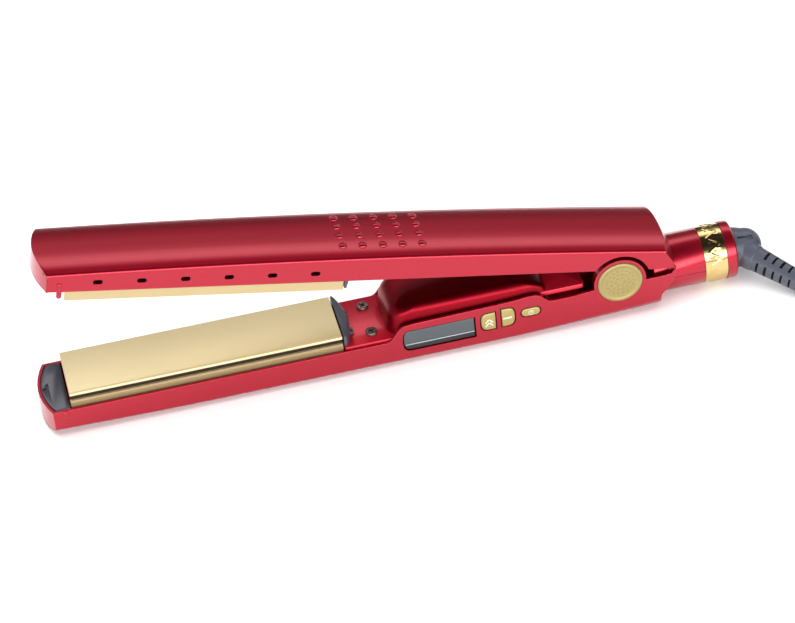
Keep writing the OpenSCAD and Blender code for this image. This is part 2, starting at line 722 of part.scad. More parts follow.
module cord_coil() color("#3A3C44") translate(coil_at) rotate_extrude($fn = 96)
    polygon([[coil_in, 2], [coil_in + 2, 0], [coil_out - 2, 0], [coil_out, 2],
             [coil_out, coil_h - 2], [coil_out - 2, coil_h], [coil_in + 2, coil_h],
             [coil_in, coil_h - 2]]);

module cord_tie() color("#202226") translate(coil_at) rotate(135) difference() {
    box([coil_in - 0.8, -4.5, 0], [coil_out + 0.8, 4.5, coil_h + 0.8]);
    box([coil_in, -far, 0.8], [coil_out, far, coil_h]);
}

module plug_body() color("#202226") translate(coil_at + plug_at) rotate([-90, 0, 0]) {
    cylinder(r1 = 4, r2 = 5.5, h = 12);
    translate([0, 0, 12]) linear_extrude(8) square([16, plug_t - 1], center = true);
    difference() {
        translate([0, 0, 20]) linear_extrude(24) square([plug_w, plug_t], center = true);
        for (side = [-1, 1]) translate([side * (plug_w / 2 + 2), 0, 20]) rotate([0, side * 22, 0])
            cube([8, far, 40], center = true);
    }
}

module plug_pins() color("silver") for (side = [-1, 1])
    translate(coil_at + plug_at + [side * pin_pitch / 2, 44, 0]) rotate([-90, 0, 0])
        cylinder(r = plug_pin_r, h = plug_pin_len);

lower_housing();
tail_top_cover();
lower_inner_cover();
lower_tip_cap();
lower_rear_cap();
lower_screws();
display_window();
display_module();
control_board();
tact_switches();
power_board();
board_parts();
board_screws();
lower_leads();
lower_float_springs();
hinge_pin();
hinge_sleeve();
hinge_washers();
hinge_spring();
near_hinge_cap();
far_hinge_cap();
tail_band();
tail_end_ring();
swivel_brushes();
up_button();
down_button();
power_button();
lower_plate();
lower_carrier();
lower_heater();
lower_heater_clip();
lower_thermistor();
upper_housing();
upper_inner_cover();
upper_tip_cap();
upper_rear_cap();
upper_screws();
upper_leads();
thermal_fuse();
upper_float_springs();
hinge_bushes();
upper_plate();
upper_carrier();
upper_heater();
upper_heater_clip();
upper_thermistor();
swivel_elbow();
slip_rings();
strain_relief();
power_cord();
cord_coil();
cord_tail();
cord_tie();
plug_body();
plug_pins();
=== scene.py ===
"""Hair straightening iron, open on its hinge, with its mains cord coiled behind the tail.

Arm parts are drawn in millimetres in the hinge's own frame: the hinge axis lies along Y through
the origin, +X runs to the tail, and the near side is -Y. LOWER and UPPER put them in the row's
frame, in metres; the upper arm is drawn closed and UPPER opens it.
"""
from math import copysign, cos, exp, hypot, pi, radians, sin, sqrt

import bmesh
import bpy
from mathutils import Matrix, Vector
from mathutils.bvhtree import BVHTree


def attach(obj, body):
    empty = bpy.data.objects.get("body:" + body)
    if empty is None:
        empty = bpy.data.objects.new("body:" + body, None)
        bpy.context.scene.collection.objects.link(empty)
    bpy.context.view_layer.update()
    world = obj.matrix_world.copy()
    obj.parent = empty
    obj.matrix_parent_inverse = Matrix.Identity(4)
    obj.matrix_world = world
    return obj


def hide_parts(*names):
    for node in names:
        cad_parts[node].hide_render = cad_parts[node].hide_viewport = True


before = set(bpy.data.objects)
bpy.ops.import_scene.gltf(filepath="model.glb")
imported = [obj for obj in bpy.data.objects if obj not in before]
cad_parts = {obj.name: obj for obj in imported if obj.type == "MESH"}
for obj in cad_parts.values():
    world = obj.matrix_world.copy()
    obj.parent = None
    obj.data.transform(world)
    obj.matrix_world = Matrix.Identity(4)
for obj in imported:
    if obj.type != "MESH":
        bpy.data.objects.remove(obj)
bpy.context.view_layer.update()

MM = 0.001          # one millimetre in the row's metres
OPEN_ANGLE = radians(11.84)
HINGE = Vector((125, 0, 22.2))
ROW = Matrix.Scale(MM, 4)
LOWER = ROW @ Matrix.Translation(HINGE)
UPPER = LOWER @ Matrix.Rotation(OPEN_ANGLE, 4, "Y")
FLIP = Matrix.Scale(-1, 4, (0, 0, 1))      # turns an upper pattern into the lower arm's

HALF_W = 18.5       # half the width of both arms
WALL = 1.5
TIP_X = -271.2      # foremost point of both arms
TIP_SAG = 4.4       # the tip's corners lie this far behind it
TIP_FADE = 30       # and the sections behind it straighten over this length
HEEL_SAG = 2.4      # the rear corners lie this far in front of the rear's middle
EDGE_R = 1.6        # rounding of the upper arm's long top edges
UPPER_RIM = 6.4     # lower edge of the upper arm's side walls
ARCH_R = 14.2       # the arch in that edge over the hinge boss
ARCH_HALF = 12.68
REAR_X = 18         # the lower arm's rear end starts to narrow here
CAP_INSET = 1.55    # the tip caps stand this far inside the arms' outline
PLATE_X = (-258.0, -131.0)
PLATE_HALF = 15.875
COVER_X = -130.4    # where the inner covers and the rear guards start, behind the plates
SCREW_X = -116.5
SCREW_Y = 9.8
TIP_SCREW_X = -265.3
TAIL_Z = -8.6       # the tail's axis
BARREL_R = 13.2
SPIGOT_R = 12.4     # the tail's narrower end, under the gold band and the end ring
BAND_X = 42.6       # front of the gold band
RING_X = 53.3       # front of the end ring
RING_END = 58.5
BOSS_R = 12.4       # hinge boss, the seat in it and the gold disc in the seat
SEAT_R = 10.95
DISC_R = 10.7
ELBOW_X = 65.0      # centre of the elbow's rounded end
RELIEF_X = 60.2     # where the strain relief's line leaves the tail's axis
RELIEF_TURN = radians(-48.5)
RELIEF_DIP = radians(11)
RELIEF_START = 8.3
RELIEF_END = 50.0
SLOT_PITCH = 4.3

CORD_R = 3.0
COIL_CENTRE = Vector((266.7, -19, 0))
COIL_OUTER = 44.3   # centre radius of the outermost turn
ENTRY_WIDE = 4.2    # the first turn starts this much wider, in line with the strain relief
COIL_PITCH = 6.1    # from one turn to the next in a layer
LAYER_RISE = 6.05
LAYER_SWEEP = 990   # degrees that one layer winds through
ENTRY_ANGLE = 221.5     # where the first turn starts, in degrees from +X
COIL_SWEEP = 3999       # degrees that all the layers wind through
PLUG_START = COIL_CENTRE + Vector((29, -20, 31))


# ---- small geometry helpers ----

def clamp(t):
    return max(0.0, min(1.0, t))


def ease(t):
    """0 to 1 with level ends."""
    t = clamp(t)
    return t * t * (3 - 2 * t)


def along(points, x):
    """Straight-line reading of y at x from (x, y) points in rising x."""
    if x <= points[0][0]:
        return points[0][1]
    for (x0, y0), (x1, y1) in zip(points, points[1:]):
        if x <= x1:
            return y0 + (y1 - y0) * (x - x0) / (x1 - x0)
    return points[-1][1]


def spread(low, high, count):
    """Evenly spaced numbers, both ends included."""
    return [low + (high - low) * i / (count - 1) for i in range(count)]


def circle(r, sides):
    """Evenly spaced points of a circle, as pairs."""
    return [(r * cos(a), r * sin(a)) for a in
            (2 * pi * k / sides for k in range(sides))]


def signed_power(c, power):
    """c raised to a power, with its sign kept."""
    return copysign(abs(c) ** power, c)


def net(rows, loop=False, caps=False):
    """Vertices and faces of a net of points. loop joins each row's end to its start."""
    wide = len(rows[0])
    verts = [tuple(p) for row in rows for p in row]
    faces = []
    for i in range(len(rows) - 1):
        for j in range(wide if loop else wide - 1):
            k = (j + 1) % wide
            faces.append((i * wide + j, i * wide + k, (i + 1) * wide + k, (i + 1) * wide + j))
    if caps:
        faces.append(tuple(reversed(range(wide))))
        faces.append(tuple(range((len(rows) - 1) * wide, len(rows) * wide)))
    return verts, faces


def solid(rows):
    """A closed solid through loops of points."""
    return net(rows, loop=True, caps=True)


def joined(*parts):
    """One set of vertices and faces from several."""
    verts, faces = [], []
    for v, f in parts:
        start = len(verts)
        verts += v
        faces += [tuple(i + start for i in face) for face in f]
    return verts, faces


def turning(degrees, axis):
    return Matrix.Rotation(radians(degrees), 4, axis)


def moved(part, matrix):
    return [tuple(matrix @ Vector(v)) for v in part[0]], part[1]


def prism(outline, y0, y1):
    """A solid between y0 and y1 with an outline in X and Z."""
    return solid([[(x, y, z) for x, z in outline] for y in (y0, y1)])


def stacked(slices):
    """A solid through (z, outline in X and Y) slices."""
    return solid([[(x, y, z) for x, y in outline] for z, outline in slices])


def slab(outline, z0, z1):
    """A solid between z0 and z1 with an outline in X and Y."""
    return stacked([(z0, outline), (z1, outline)])


def dome(x, y, profile, sides):
    """A round solid on (x, y), through (radius, z) points."""
    return stacked([(z, [(x + u, y + v) for u, v in circle(r, sides)]) for r, z in profile])


def block(low, high):
    (x0, y0, z0), (x1, y1, z1) = low, high
    return slab([(x0, y0), (x1, y0), (x1, y1), (x0, y1)], z0, z1)


def turned(profile, sides=96, closed=True):
    """A shape turned about the X axis from (along, radius) points."""
    rows = [[(x, y, z) for y, z in circle(r, sides)] for x, r in profile]
    if closed:
        rows.append(rows[0])
    return net(rows, loop=True, caps=not closed)


def half_turned(profile, start, end):
    """A closed profile of (along, radius) points turned about X from one angle to another."""
    rows = [[(x, r * cos(a), r * sin(a)) for x, r in profile]
            for a in spread(radians(start), radians(end), 48)]
    return solid(rows)


def round_about_y(r, y0, y1, sides=96):
    return prism(circle(r, sides), y0, y1)


def rounded_box_outline(x0, x1, half, front_r, back_r, steps):
    """Plan outline from x0 to x1, with its four corners rounded."""
    points = []
    for cx, cy, r, turn in ((x1 - back_r, half - back_r, back_r, 0),
                            (x0 + front_r, half - front_r, front_r, 90),
                            (x0 + front_r, front_r - half, front_r, 180),
                            (x1 - back_r, back_r - half, back_r, 270)):
        for i in range(steps + 1):
            a = radians(turn + 90 * i / steps)
            points.append((cx + r * cos(a), cy + r * sin(a)))
    return points


def key_outline(low, high, round_end, grow=0.0):
    """A key's or window's outline in X and Z: its front, its back or both ends (pill) bow out."""
    r = (high[1] - low[1]) / 2 + grow
    mid = (high[1] + low[1]) / 2
    bow = r if round_end == "pill" else 0.7 * r
    x0 = low[0] - grow + (0 if round_end == "back" else bow)
    x1 = high[0] + grow - (0 if round_end == "front" else bow)
    front, back = [(x0, mid + r), (x0, mid - r)], [(x1, mid - r), (x1, mid + r)]
    fullness = 1.0 if round_end == "pill" else 0.72
    bend = [(bow * abs(sin(a)) ** fullness, signed_power(cos(a), fullness) * r)
            for a in (pi * i / 20 for i in range(21))]
    if round_end != "back":
        front = [(x0 - out, mid + up) for out, up in bend]
    if round_end != "front":
        back = [(x1 + out, mid - up) for out, up in bend]
    return front + back


# ---- materials ----

def linear(colour):
    """Linear RGBA of a colour written as six hexadecimal digits."""
    parts = [int(colour[i:i + 2], 16) / 255 for i in (0, 2, 4)]
    return [c / 12.92 if c <= 0.04045 else ((c + 0.055) / 1.055) ** 2.4 for c in parts] + [1.0]


def wire(tree, node, inputs):
    """Sets a node's inputs to values or to the outputs of other nodes."""
    for key, value in inputs.items():
        if isinstance(value, bpy.types.NodeSocket):
            tree.links.new(value, node.inputs[key])
        else:
            node.inputs[key].default_value = value
    return node


def material(name, colour, roughness, metallic=0.0, coat=0.0, grain=0.3, depth=0.01,
             mottle=0.06, stretch=(1, 1, 1)):
    """Moulded plastic, lacquer or metal. grain is the size of its surface noise in millimetres and
    depth the height of that noise; mottle varies tone and gloss over centimetres."""
    m = bpy.data.materials.new(name)
    m.use_nodes = True
    tree = m.node_tree
    add = tree.nodes.new
    place = add("ShaderNodeTexCoord").outputs["Object"]
    mapping = wire(tree, add("ShaderNodeMapping"), {"Scale": stretch, "Vector": place})
    fine = wire(tree, add("ShaderNodeTexNoise"), {
        "Scale": 1 / (grain * MM), "Detail": 3, "Vector": mapping.outputs["Vector"]})
    bump = wire(tree, add("ShaderNodeBump"), {
        "Strength": 1.0, "Distance": depth * MM, "Height": fine.outputs["Fac"]})
    broad = wire(tree, add("ShaderNodeTexNoise"), {"Scale": 55, "Detail": 5, "Vector": place})
    gloss = wire(tree, add("ShaderNodeMapRange"), {
        "To Min": roughness * (1 - 2.5 * mottle), "To Max": roughness * (1 + 2.5 * mottle),
        "Value": broad.outputs["Fac"]})
    tone = add("ShaderNodeMix")
    tone.data_type = "RGBA"
    base = linear(colour)
    dark = [c * (1 - 2 * mottle) for c in base[:3]] + [1.0]
    wire(tree, tone, {"A": base, "B": dark, "Factor": broad.outputs["Fac"]})
    wire(tree, tree.nodes["Principled BSDF"], {
        "Base Color": tone.outputs["Result"], "Roughness": gloss.outputs["Result"],
        "Metallic": metallic, "Coat Weight": coat, "Coat Roughness": 0.06,
        "Normal": bump.outputs["Normal"]})
    return m


RED = material("red_lacquer", "A80C28", 0.34, metallic=0.88, coat=0.6, grain=0.12, depth=0.0012,
               mottle=0.03)
# A darker copy of the red lacquer for the inner covers between the arms: painted shade under the
# upper arm.
SHADED_COVER_RED = material("cover_red_painted_shade", "84081A", 0.42, metallic=1.0, coat=0.10, grain=0.15, depth=0.002,
                     mottle=0.04)
# A lighter copy of the red lacquer for the open screw floor and the step: painted light from above.
LIT_FLOOR_RED = material("screw_floor_red_painted_light", "BE1830", 0.30, metallic=0.5, coat=0.3, grain=0.15,
                     depth=0.002, mottle=0.04)
CAP_SLATE = material("cap_slate", "32323C", 0.34, grain=0.35, depth=0.006, coat=0.5)
SLATE = material("slate_plastic", "3E414C", 0.42, grain=0.35, coat=0.1)
GOLD_PLATE = material("titanium_gold", "D2C096", 0.30, metallic=0.5, grain=0.10, depth=0.0015,
                      mottle=0.03, stretch=(0.03, 1, 1))
# A darker copy of the plate's gold for its rail: painted shade for the dark wall the rail reflects.
SHADED_GOLD_RAIL = material("titanium_rail_painted_shade", "B6A278", 0.30, metallic=0.5, grain=0.10, depth=0.0015,
                     mottle=0.03, stretch=(0.03, 1, 1))
# Dark bronze for painted shade in the plate's groove.
GROOVE_SHADE = material("plate_groove_painted_shade", "241404", 0.5, metallic=0.4, depth=0.004)
GOLD_TRIM = material("satin_gold", "AC9C64", 0.36, metallic=0.7, grain=0.35, depth=0.03)
GOLD_BAND = material("polished_gold", "D8BC80", 0.10, metallic=1.0, grain=0.4, depth=0.002,
                     mottle=0.08)
SANDED_GOLD = material("sanded_gold", "9E8F5C", 0.42, metallic=0.65, grain=0.55, depth=0.10)
BLACK_STEEL = material("blackened_steel", "26262A", 0.36, metallic=0.9, grain=0.2, depth=0.004)
SCREW = material("dull_screw", "75625F", 0.38, metallic=0.85, grain=0.2, depth=0.006)
STEEL = material("drawn_steel", "B8B8BC", 0.28, metallic=1.0, grain=0.15, depth=0.003,
                 stretch=(0.1, 1, 1))
GLASS = material("smoked_window", "3E454A", 0.2, coat=0.3, grain=2, depth=0.001)
# Near-black paint: painted shade in the gap behind the tip fence and in the strain relief's slots,
# and a painted dark reflection along the window's foot.
DARK_SHADE_AND_REFLECTION = material("painted_shade_and_dark_reflection", "181B1E", 0.55, grain=2, depth=0.001)
# Pale paint for a painted highlight along the window.
GLASS_HIGHLIGHT = material("painted_window_highlight", "A8B0B0", 0.3, grain=2, depth=0.001)
LCD = material("lcd", "8E9C94", 0.3, grain=0.5, depth=0.002)
GREEN = material("board_green", "24603A", 0.35, coat=0.3, grain=0.4)
BOARD_DARK = material("board_parts", "2A2D34", 0.45)
SLEEVE = material("glass_sleeve", "C4BCAA", 0.8, grain=0.25, depth=0.05)
CARRIER = material("carrier_black", "2E2E33", 0.55, depth=0.02)
CERAMIC = material("ceramic", "E2DED4", 0.6)
BRONZE = material("bronze", "B4813F", 0.3, metallic=1.0, grain=0.2, depth=0.004)
KEY_MARK = material("key_mark", "D8D2B4", 0.35, depth=0.004)
CORD = material("cord_jacket", "2E3038", 0.5, depth=0.02, coat=0.05)
PLUG = material("plug_plastic", "23252B", 0.5, depth=0.03)
NICKEL = material("plug_nickel", "C2C0BA", 0.2, metallic=1.0, grain=0.2, depth=0.002)
# Dark red for painted shade behind the keys.
RECESS_SHADE = material("recess_shadow", "2C0409", 0.6)
FLOOR = material("studio_floor", "F4F4F4", 0.8, grain=3, mottle=0.004)


# ---- making pieces ----

def add_object(name, data):
    obj = bpy.data.objects.new(name, data)
    bpy.context.scene.collection.objects.link(obj)
    return obj


def mesh_object(name, part, place):
    """A closed, outward-facing mesh object at the origin."""
    mesh = bpy.data.meshes.new(name)
    mesh.from_pydata([place @ Vector(v) for v in part[0]], [], part[1])
    b = bmesh.new()
    b.from_mesh(mesh)
    bmesh.ops.remove_doubles(b, verts=b.verts, dist=0.004 * MM)
    bmesh.ops.dissolve_degenerate(b, edges=b.edges, dist=0.002 * MM)
    bmesh.ops.recalc_face_normals(b, faces=b.faces)
    b.to_mesh(mesh)
    b.free()
    return add_object(name, mesh)


def apply_modifiers(obj):
    """Leaves the evaluated mesh on the object and no modifier."""
    graph = bpy.context.evaluated_depsgraph_get()
    graph.update()
    mesh = bpy.data.meshes.new_from_object(obj.evaluated_get(graph))
    obj.modifiers.clear()
    obj.data = mesh


def combine(obj, parts, place, operation):
    """Adds or cuts solids, one after another."""
    for part in parts:
        tool = mesh_object(f"{obj.name}_tool", part, place)
        boolean = obj.modifiers.new("boolean", "BOOLEAN")
        boolean.operation = operation
        boolean.solver = "EXACT"
        boolean.object = tool
        apply_modifiers(obj)
        bpy.data.objects.remove(tool)


def thicken(obj):
    """Gives an open skin its wall, inwards from the surface that was drawn."""
    wall = obj.modifiers.new("wall", "SOLIDIFY")
    wall.thickness = WALL * MM
    wall.offset = -1
    wall.use_even_offset = True
    apply_modifiers(obj)


def paint_faces(obj, place, index, chosen):
    """Gives the faces whose centre, in the piece's own millimetres, is chosen another material."""
    back = place.inverted()
    for face in obj.data.polygons:
        if chosen(back @ face.center):
            face.material_index = index


def merge_flats(obj, walls_only=False):
    """Joins the faces that lie in one plane, or only those of upright side walls, so that the
    edges round cleanly."""
    b = bmesh.new()
    b.from_mesh(obj.data)
    bmesh.ops.remove_doubles(b, verts=b.verts, dist=0.01 * MM)
    flat = {f for f in b.faces if not walls_only or abs(f.normal.y) > 0.9999}
    bmesh.ops.dissolve_limit(
        b, angle_limit=radians(0.4),
        verts=[v for v in b.verts if all(f in flat for f in v.link_faces)],
        edges=[e for e in b.edges if all(f in flat for f in e.link_faces)])
    b.to_mesh(obj.data)
    b.free()


def weigh_normals(obj):
    """Shades large flat faces as flat, whatever narrow faces meet them."""
    weigh = obj.modifiers.new("normals", "WEIGHTED_NORMAL")
    weigh.mode = "FACE_AREA_WITH_ANGLE"
    weigh.weight = 90
    apply_modifiers(obj)


def round_edges(obj, width, segments, angle, full_width=False):
    """Rounds the edges. At full width, points thrown off the old surface are set back on it."""
    points = [v.co.copy() for v in obj.data.vertices]
    before = BVHTree.FromPolygons(points, [f.vertices[:] for f in obj.data.polygons])
    rounding = obj.modifiers.new("edges", "BEVEL")
    rounding.width = width * MM
    rounding.segments = segments
    rounding.limit_method = "ANGLE"
    rounding.angle_limit = radians(angle)
    rounding.use_clamp_overlap = not full_width
    rounding.harden_normals = True
    apply_modifiers(obj)
    if full_width:
        for v in obj.data.vertices:
            near, _, _, gap = before.find_nearest(v.co)
            if gap > 0.6 * width * MM:
                v.co = near


def finish_piece(obj, finish, body, slot, hides=(), bevel=0.0, segments=3, angle=32):
    """Rounds the edges, then sets the material, the CAD body and the nodes it stands for."""
    obj.data.materials.clear()
    for m in finish if isinstance(finish, list) else [finish]:
        obj.data.materials.append(m)
    if bevel:
        round_edges(obj, bevel, segments, angle)
    obj.data.polygons.foreach_set("use_smooth", [True] * len(obj.data.polygons))
    if not bevel:
        obj.data.set_sharp_from_angle(angle=radians(angle))
    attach(obj, body)
    if hides:
        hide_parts(*hides)
    return obj


def piece(name, part, place, *finish, **details):
    """A piece from vertices and faces; what follows its place goes to finish_piece."""
    return finish_piece(mesh_object(name, part, place), *finish, **details)


# ---- camera ----

CAMERA_TURN = (-8.83, 38.655, -6.288)     # azimuth, elevation and roll in degrees
CAMERA_TARGET = Vector((23.14, 0, 17.23))
CAMERA_DISTANCE = 1613.24
LENS = 158.0


def set_camera():
    azimuth, elevation, roll = (radians(a) for a in CAMERA_TURN)
    back = Vector((sin(azimuth) * cos(elevation),
                   -cos(azimuth) * cos(elevation), sin(elevation)))
    right = Vector((cos(azimuth), sin(azimuth), 0))
    data = bpy.data.cameras.new("camera")
    data.lens = LENS
    data.sensor_width = 36.0
    data.clip_start = 0.05
    data.clip_end = 20
    camera = add_object("camera", data)
    level = Matrix((right, back.cross(right), back)).transposed().to_4x4()
    place = CAMERA_TARGET * MM + back * CAMERA_DISTANCE * MM
    camera.matrix_world = Matrix.Translation(place) @ level @ Matrix.Rotation(roll, 4, "Z")
    bpy.context.scene.camera = camera


set_camera()


# ---- cord, tie and plug ----

def relief_point(t):
    """A point on the strain relief's own line, t millimetres from its start, in the row's frame."""
    direction = Vector((cos(RELIEF_DIP) * cos(RELIEF_TURN),
                        cos(RELIEF_DIP) * sin(RELIEF_TURN), -sin(RELIEF_DIP)))
    return HINGE + Vector((RELIEF_X, 0, TAIL_Z)) + direction * t


def coil_point(sweep):
    """A point on the coil: each layer winds in or out, and the next lies on top of it."""
    layer, share = divmod(sweep / LAYER_SWEEP, 1)
    inward = share if layer % 2 == 0 else 1 - share
    radius = COIL_OUTER - COIL_PITCH * LAYER_SWEEP / 360 * inward
    radius += ENTRY_WIDE * (1 - ease(sweep / 90))
    rise = sum(ease((sweep - LAYER_SWEEP * k + 55) / 110) for k in (1, 2, 3))
    a = radians(ENTRY_ANGLE + sweep)
    return COIL_CENTRE + Vector((radius * cos(a), radius * sin(a),
                                 CORD_R + LAYER_RISE * rise))


def cord_route():
    """The whole cord in millimetres: out of the strain relief, round the coil and up to the plug."""
    exit_point = relief_point(RELIEF_END)
    entry = coil_point(0)
    lead = []
    for t in (0, 3.2, 6.4, 9.6, 12.8, 16):
        p = exit_point + Vector((cos(RELIEF_TURN), sin(RELIEF_TURN), 0)) * t
        p.z = entry.z + (exit_point.z - entry.z) * (1 - clamp(t / 10.9)) ** 2
        lead.append(p)
    coil = [coil_point(22.5 * k) for k in range(int(COIL_SWEEP / 22.5) + 1)]
    tail = [COIL_CENTRE + Vector(p) for p in (
        (-7.5, -43.9, 21.2), (-0.4, -44.9, 21.7), (5, -44.4, 22.6), (11.2, -43.2, 24),
        (17, -40.8, 25.6), (22, -37, 27), (25.8, -32, 28.4), (28.2, -26.2, 29.7),
        (29, -20, 30.7), (29, -14, 31))]
    return lead + coil + tail


def curve_length(points):
    return sum((b - a).length for a, b in zip(points, points[1:]))


def make_cord():
    route = cord_route()
    curve = bpy.data.curves.new("power_cord_run", "CURVE")
    curve.dimensions = "3D"
    curve.bevel_depth = CORD_R * MM
    curve.bevel_resolution = 4
    curve.resolution_u = 6
    curve.use_fill_caps = True
    spline = curve.splines.new("BEZIER")
    spline.bezier_points.add(len(route) - 1)
    for knot, p in zip(spline.bezier_points, route):
        knot.co = p * MM
        knot.handle_left_type = "AUTO"
        knot.handle_right_type = "AUTO"
    curve.materials.append(CORD)
    cord = add_object("power_cord_run", curve)
    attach(cord, "cord_swivel")
    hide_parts("power_cord", "cord_coil", "cord_tail")
    return cord, curve_length(route) * MM


def make_plug():
    """A flat two-pin plug: face, tapered body, neck block and ribbed collar, lofted along Y."""
    stations = [(-5, 4.3, 4.3, 2), (-4.6, 4.6, 4.6, 2), (6.8, 5.6, 5.6, 2.2), (7, 7.6, 6.2, 3.2),
                (7.8, 8.2, 6.5, 4), (14.4, 8.4, 6.5, 4), (15.4, 10, 6.7, 4), (20, 13.6, 6.9, 5),
                (30, 16.6, 7, 6), (37.6, 17.4, 7, 6.5), (38.8, 17, 6.7, 6.5), (39, 16.2, 6, 6.5)]
    rows = [[(wide * signed_power(c, 2 / square), y, thick * signed_power(s, 2 / square))
             for c, s in circle(1, 64)] for y, wide, thick, square in stations]
    body = solid(rows)
    ribs = []
    for i in range(4):
        y = -3.2 + 2.6 * i
        r = 4.9 + 0.23 * i
        ring = [(y - 0.6, r - 0.6), (y - 0.4, r + 0.25), (y + 0.4, r + 0.25), (y + 0.6, r - 0.6)]
        ribs.append(moved(turned(ring, 48), turning(90, "Z")))
    place = ROW @ Matrix.Translation(PLUG_START + Vector((0, 5, 0)))
    plug = piece("mains_plug", joined(body, *ribs), place, PLUG, "cord_swivel", "plug_black",
                 ["plug_body"], bevel=0.25, angle=40)
    pins = []
    for side in (-9.3, 9.3):
        profile = [(39, 0.01), (39, 2), (56.6, 2), (57.6, 1.5), (58, 0.8), (58, 0.01)]
        turn = Matrix.Translation((side, 0, 0)) @ turning(90, "Z")
        pins.append(moved(turned(profile, 32, closed=False), turn))
    contacts = piece("plug_contacts", joined(*pins), place, NICKEL, "cord_swivel", "plug_pin",
                     ["plug_pins"])
    return [plug, contacts]


def make_tie():
    """A strap looped round the coil, with its tab laid over on the outside."""
    low, high, top = 23.9, 47.9, 24.7
    corner, half_thick, half_wide = 3.2, 0.45, 4.5
    middle = (top + 0.5) / 2
    loop = [(r, middle + z) for r, z in
            rounded_box_outline(low, high, middle - 0.5, corner, corner, steps=6)]
    inner, outer = ([(r + gap * copysign(1, r - (low + high) / 2),
                      z + gap * copysign(1, z - middle)) for r, z in loop]
                    for gap in (-half_thick, half_thick))
    strap = net([[(r, y, z) for r, z in edge] for edge, y in (
        (inner, -half_wide), (outer, -half_wide), (outer, half_wide), (inner, half_wide),
        (inner, -half_wide))], loop=True)
    tab = block((high + half_thick, -4.2, 9), (high + 1.35, 4.2, 20))
    ridges = [block((high + 1.2, -3.6, z), (high + 1.6, 3.6, z + 0.8)) for z in (11, 13, 15, 17)]
    place = ROW @ Matrix.Translation(COIL_CENTRE) @ turning(135, "Z")
    return piece("cord_strap", joined(strap, tab, *ridges), place, PLUG, "cord_swivel",
                 "plug_black", ["cord_tie"], bevel=0.2)


cord, cord_length = make_cord()
plug_parts = make_plug()
strap = make_tie()


# ---- upper shell ----

def crest(x):
    """Height of the upper shell's side edges."""
    return 19.1 - (x + 112) ** 2 / 7700


def crown(y):
    """Height of the upper shell's top face over its side edges."""
    return 2 * (1 - min(1, abs(y) / (HALF_W - EDGE_R)) ** 3.2)


def tip_bow(s, y):
    """X of a point whose row stands at s on the centre line: rows bow with the tip."""
    return s + TIP_SAG * ease((TIP_X + TIP_FADE - s) / TIP_FADE) * (y / HALF_W) ** 2


def upper_rim(x):
    """Lower edge of the upper side walls, arched over the hinge boss."""
    arch = sqrt(ARCH_R ** 2 - x * x) if abs(x) < ARCH_HALF else 0
    return max(UPPER_RIM + 0.6 * clamp((x - 14) / 13.8), arch)


def upper_row(s, top, rim_at_top=False):
    """One row across the upper shell, from the near wall's rim over the crown to the far one's.
    It follows the crest, or lies level at a given top."""
    heel = -HEEL_SAG * ease((s - 14) / 13.8)
    turns = [radians(a) for a in (0, 15, 30, 45, 60, 74)]
    edge = [(EDGE_R - HALF_W - EDGE_R * cos(a), EDGE_R * (sin(a) - 1.05)) for a in turns]
    over = [((HALF_W - EDGE_R) * k, crown((HALF_W - EDGE_R) * k)) for k in spread(-1, 1, 29)]
    profile = edge + over + [(-y, z) for y, z in reversed(edge)]
    row = []
    for y, z in profile:
        x = tip_bow(s, y) + heel * (y / HALF_W) ** 2
        row.append((x, y, crest(x) + z if top is None else top))
    for end, side in ((0, -HALF_W), (len(row), HALF_W)):
        x = tip_bow(s, side) + heel
        row.insert(end + (1 if end else 0), (x, side, top if rim_at_top else upper_rim(x)))
    return row


def make_upper_shell():
    """The upper arm's thin shell, with six oval vents through both side walls."""
    arch = [2.5, 5, 7, 9, 10.5, 11.6, 12.3, ARCH_HALF]
    stations = [TIP_X, -269.5, -267, -264, -260, -256, -252, -238, -234, -214.4, -194.6, -174.9,
                -155.1, -135.4, -120, -100, -80, -60, -40, -25, -16, *(-x for x in reversed(arch)),
                0, *arch, 14, 16, 18.5, 20.9]
    rows = [upper_row(s, None) for s in stations]
    rows.append(upper_row(26.8, 9.9))
    rows.append(upper_row(27.8, 7.0, rim_at_top=True))
    across = rows[0][1:-1]
    end_wall = [across, [(x, y, UPPER_RIM) for x, y, z in across]]
    obj = mesh_object("upper_shell", joined(net(rows), net(end_wall)), UPPER)
    thicken(obj)
    vents = [prism([(-244 + 19.75 * k + x + copysign(1, x), 11.4 + z)
                    for x, z in circle(1.2, 28)], -30, 30) for k in range(6)]
    round_edges(obj, 0.5, 4, 40, full_width=True)
    combine(obj, [joined(*vents)], UPPER, "DIFFERENCE")
    merge_flats(obj, walls_only=True)
    finish_piece(obj, RED, "upper_arm", "red_shell", ["upper_housing"], bevel=0.35, segments=4)
    weigh_normals(obj)


make_upper_shell()


def make_hinge_lugs():
    """The two lugs that hang from the roof and turn on the hinge pin."""
    outline = [(8, crest(0) - 1.6)] + [
        (8 * cos(a), -8 * sin(a)) for a in (pi * i / 24 for i in range(25))]
    outline.append((-8, crest(0) - 1.6))
    lugs = mesh_object("hinge_lugs", joined(prism(outline, -13.9, -9), prism(outline, 9, 13.9)),
                       UPPER)
    combine(lugs, [round_about_y(4.5, -20, 20, sides=48)], UPPER, "DIFFERENCE")
    finish_piece(lugs, RED, "upper_arm", "red_shell", bevel=0.3)


def make_grip_dots():
    """Five rows of four small domes on the upper arm, where the thumb presses."""
    profile = ((2.05, -0.3), (1.95, 0.15), (1.7, 0.55), (1.25, 0.85), (0.65, 1.0))
    dots = [dome(x, y, [(r, crest(x) + crown(y) + up) for r, up in profile], 24)
            for x in (-132, -122.8, -113.4, -104.2, -95) for y in (-10.5, -3.5, 3.5, 10.5)]
    piece("grip_dots", joined(*dots), UPPER, RED, "upper_arm", "red_shell", angle=60)


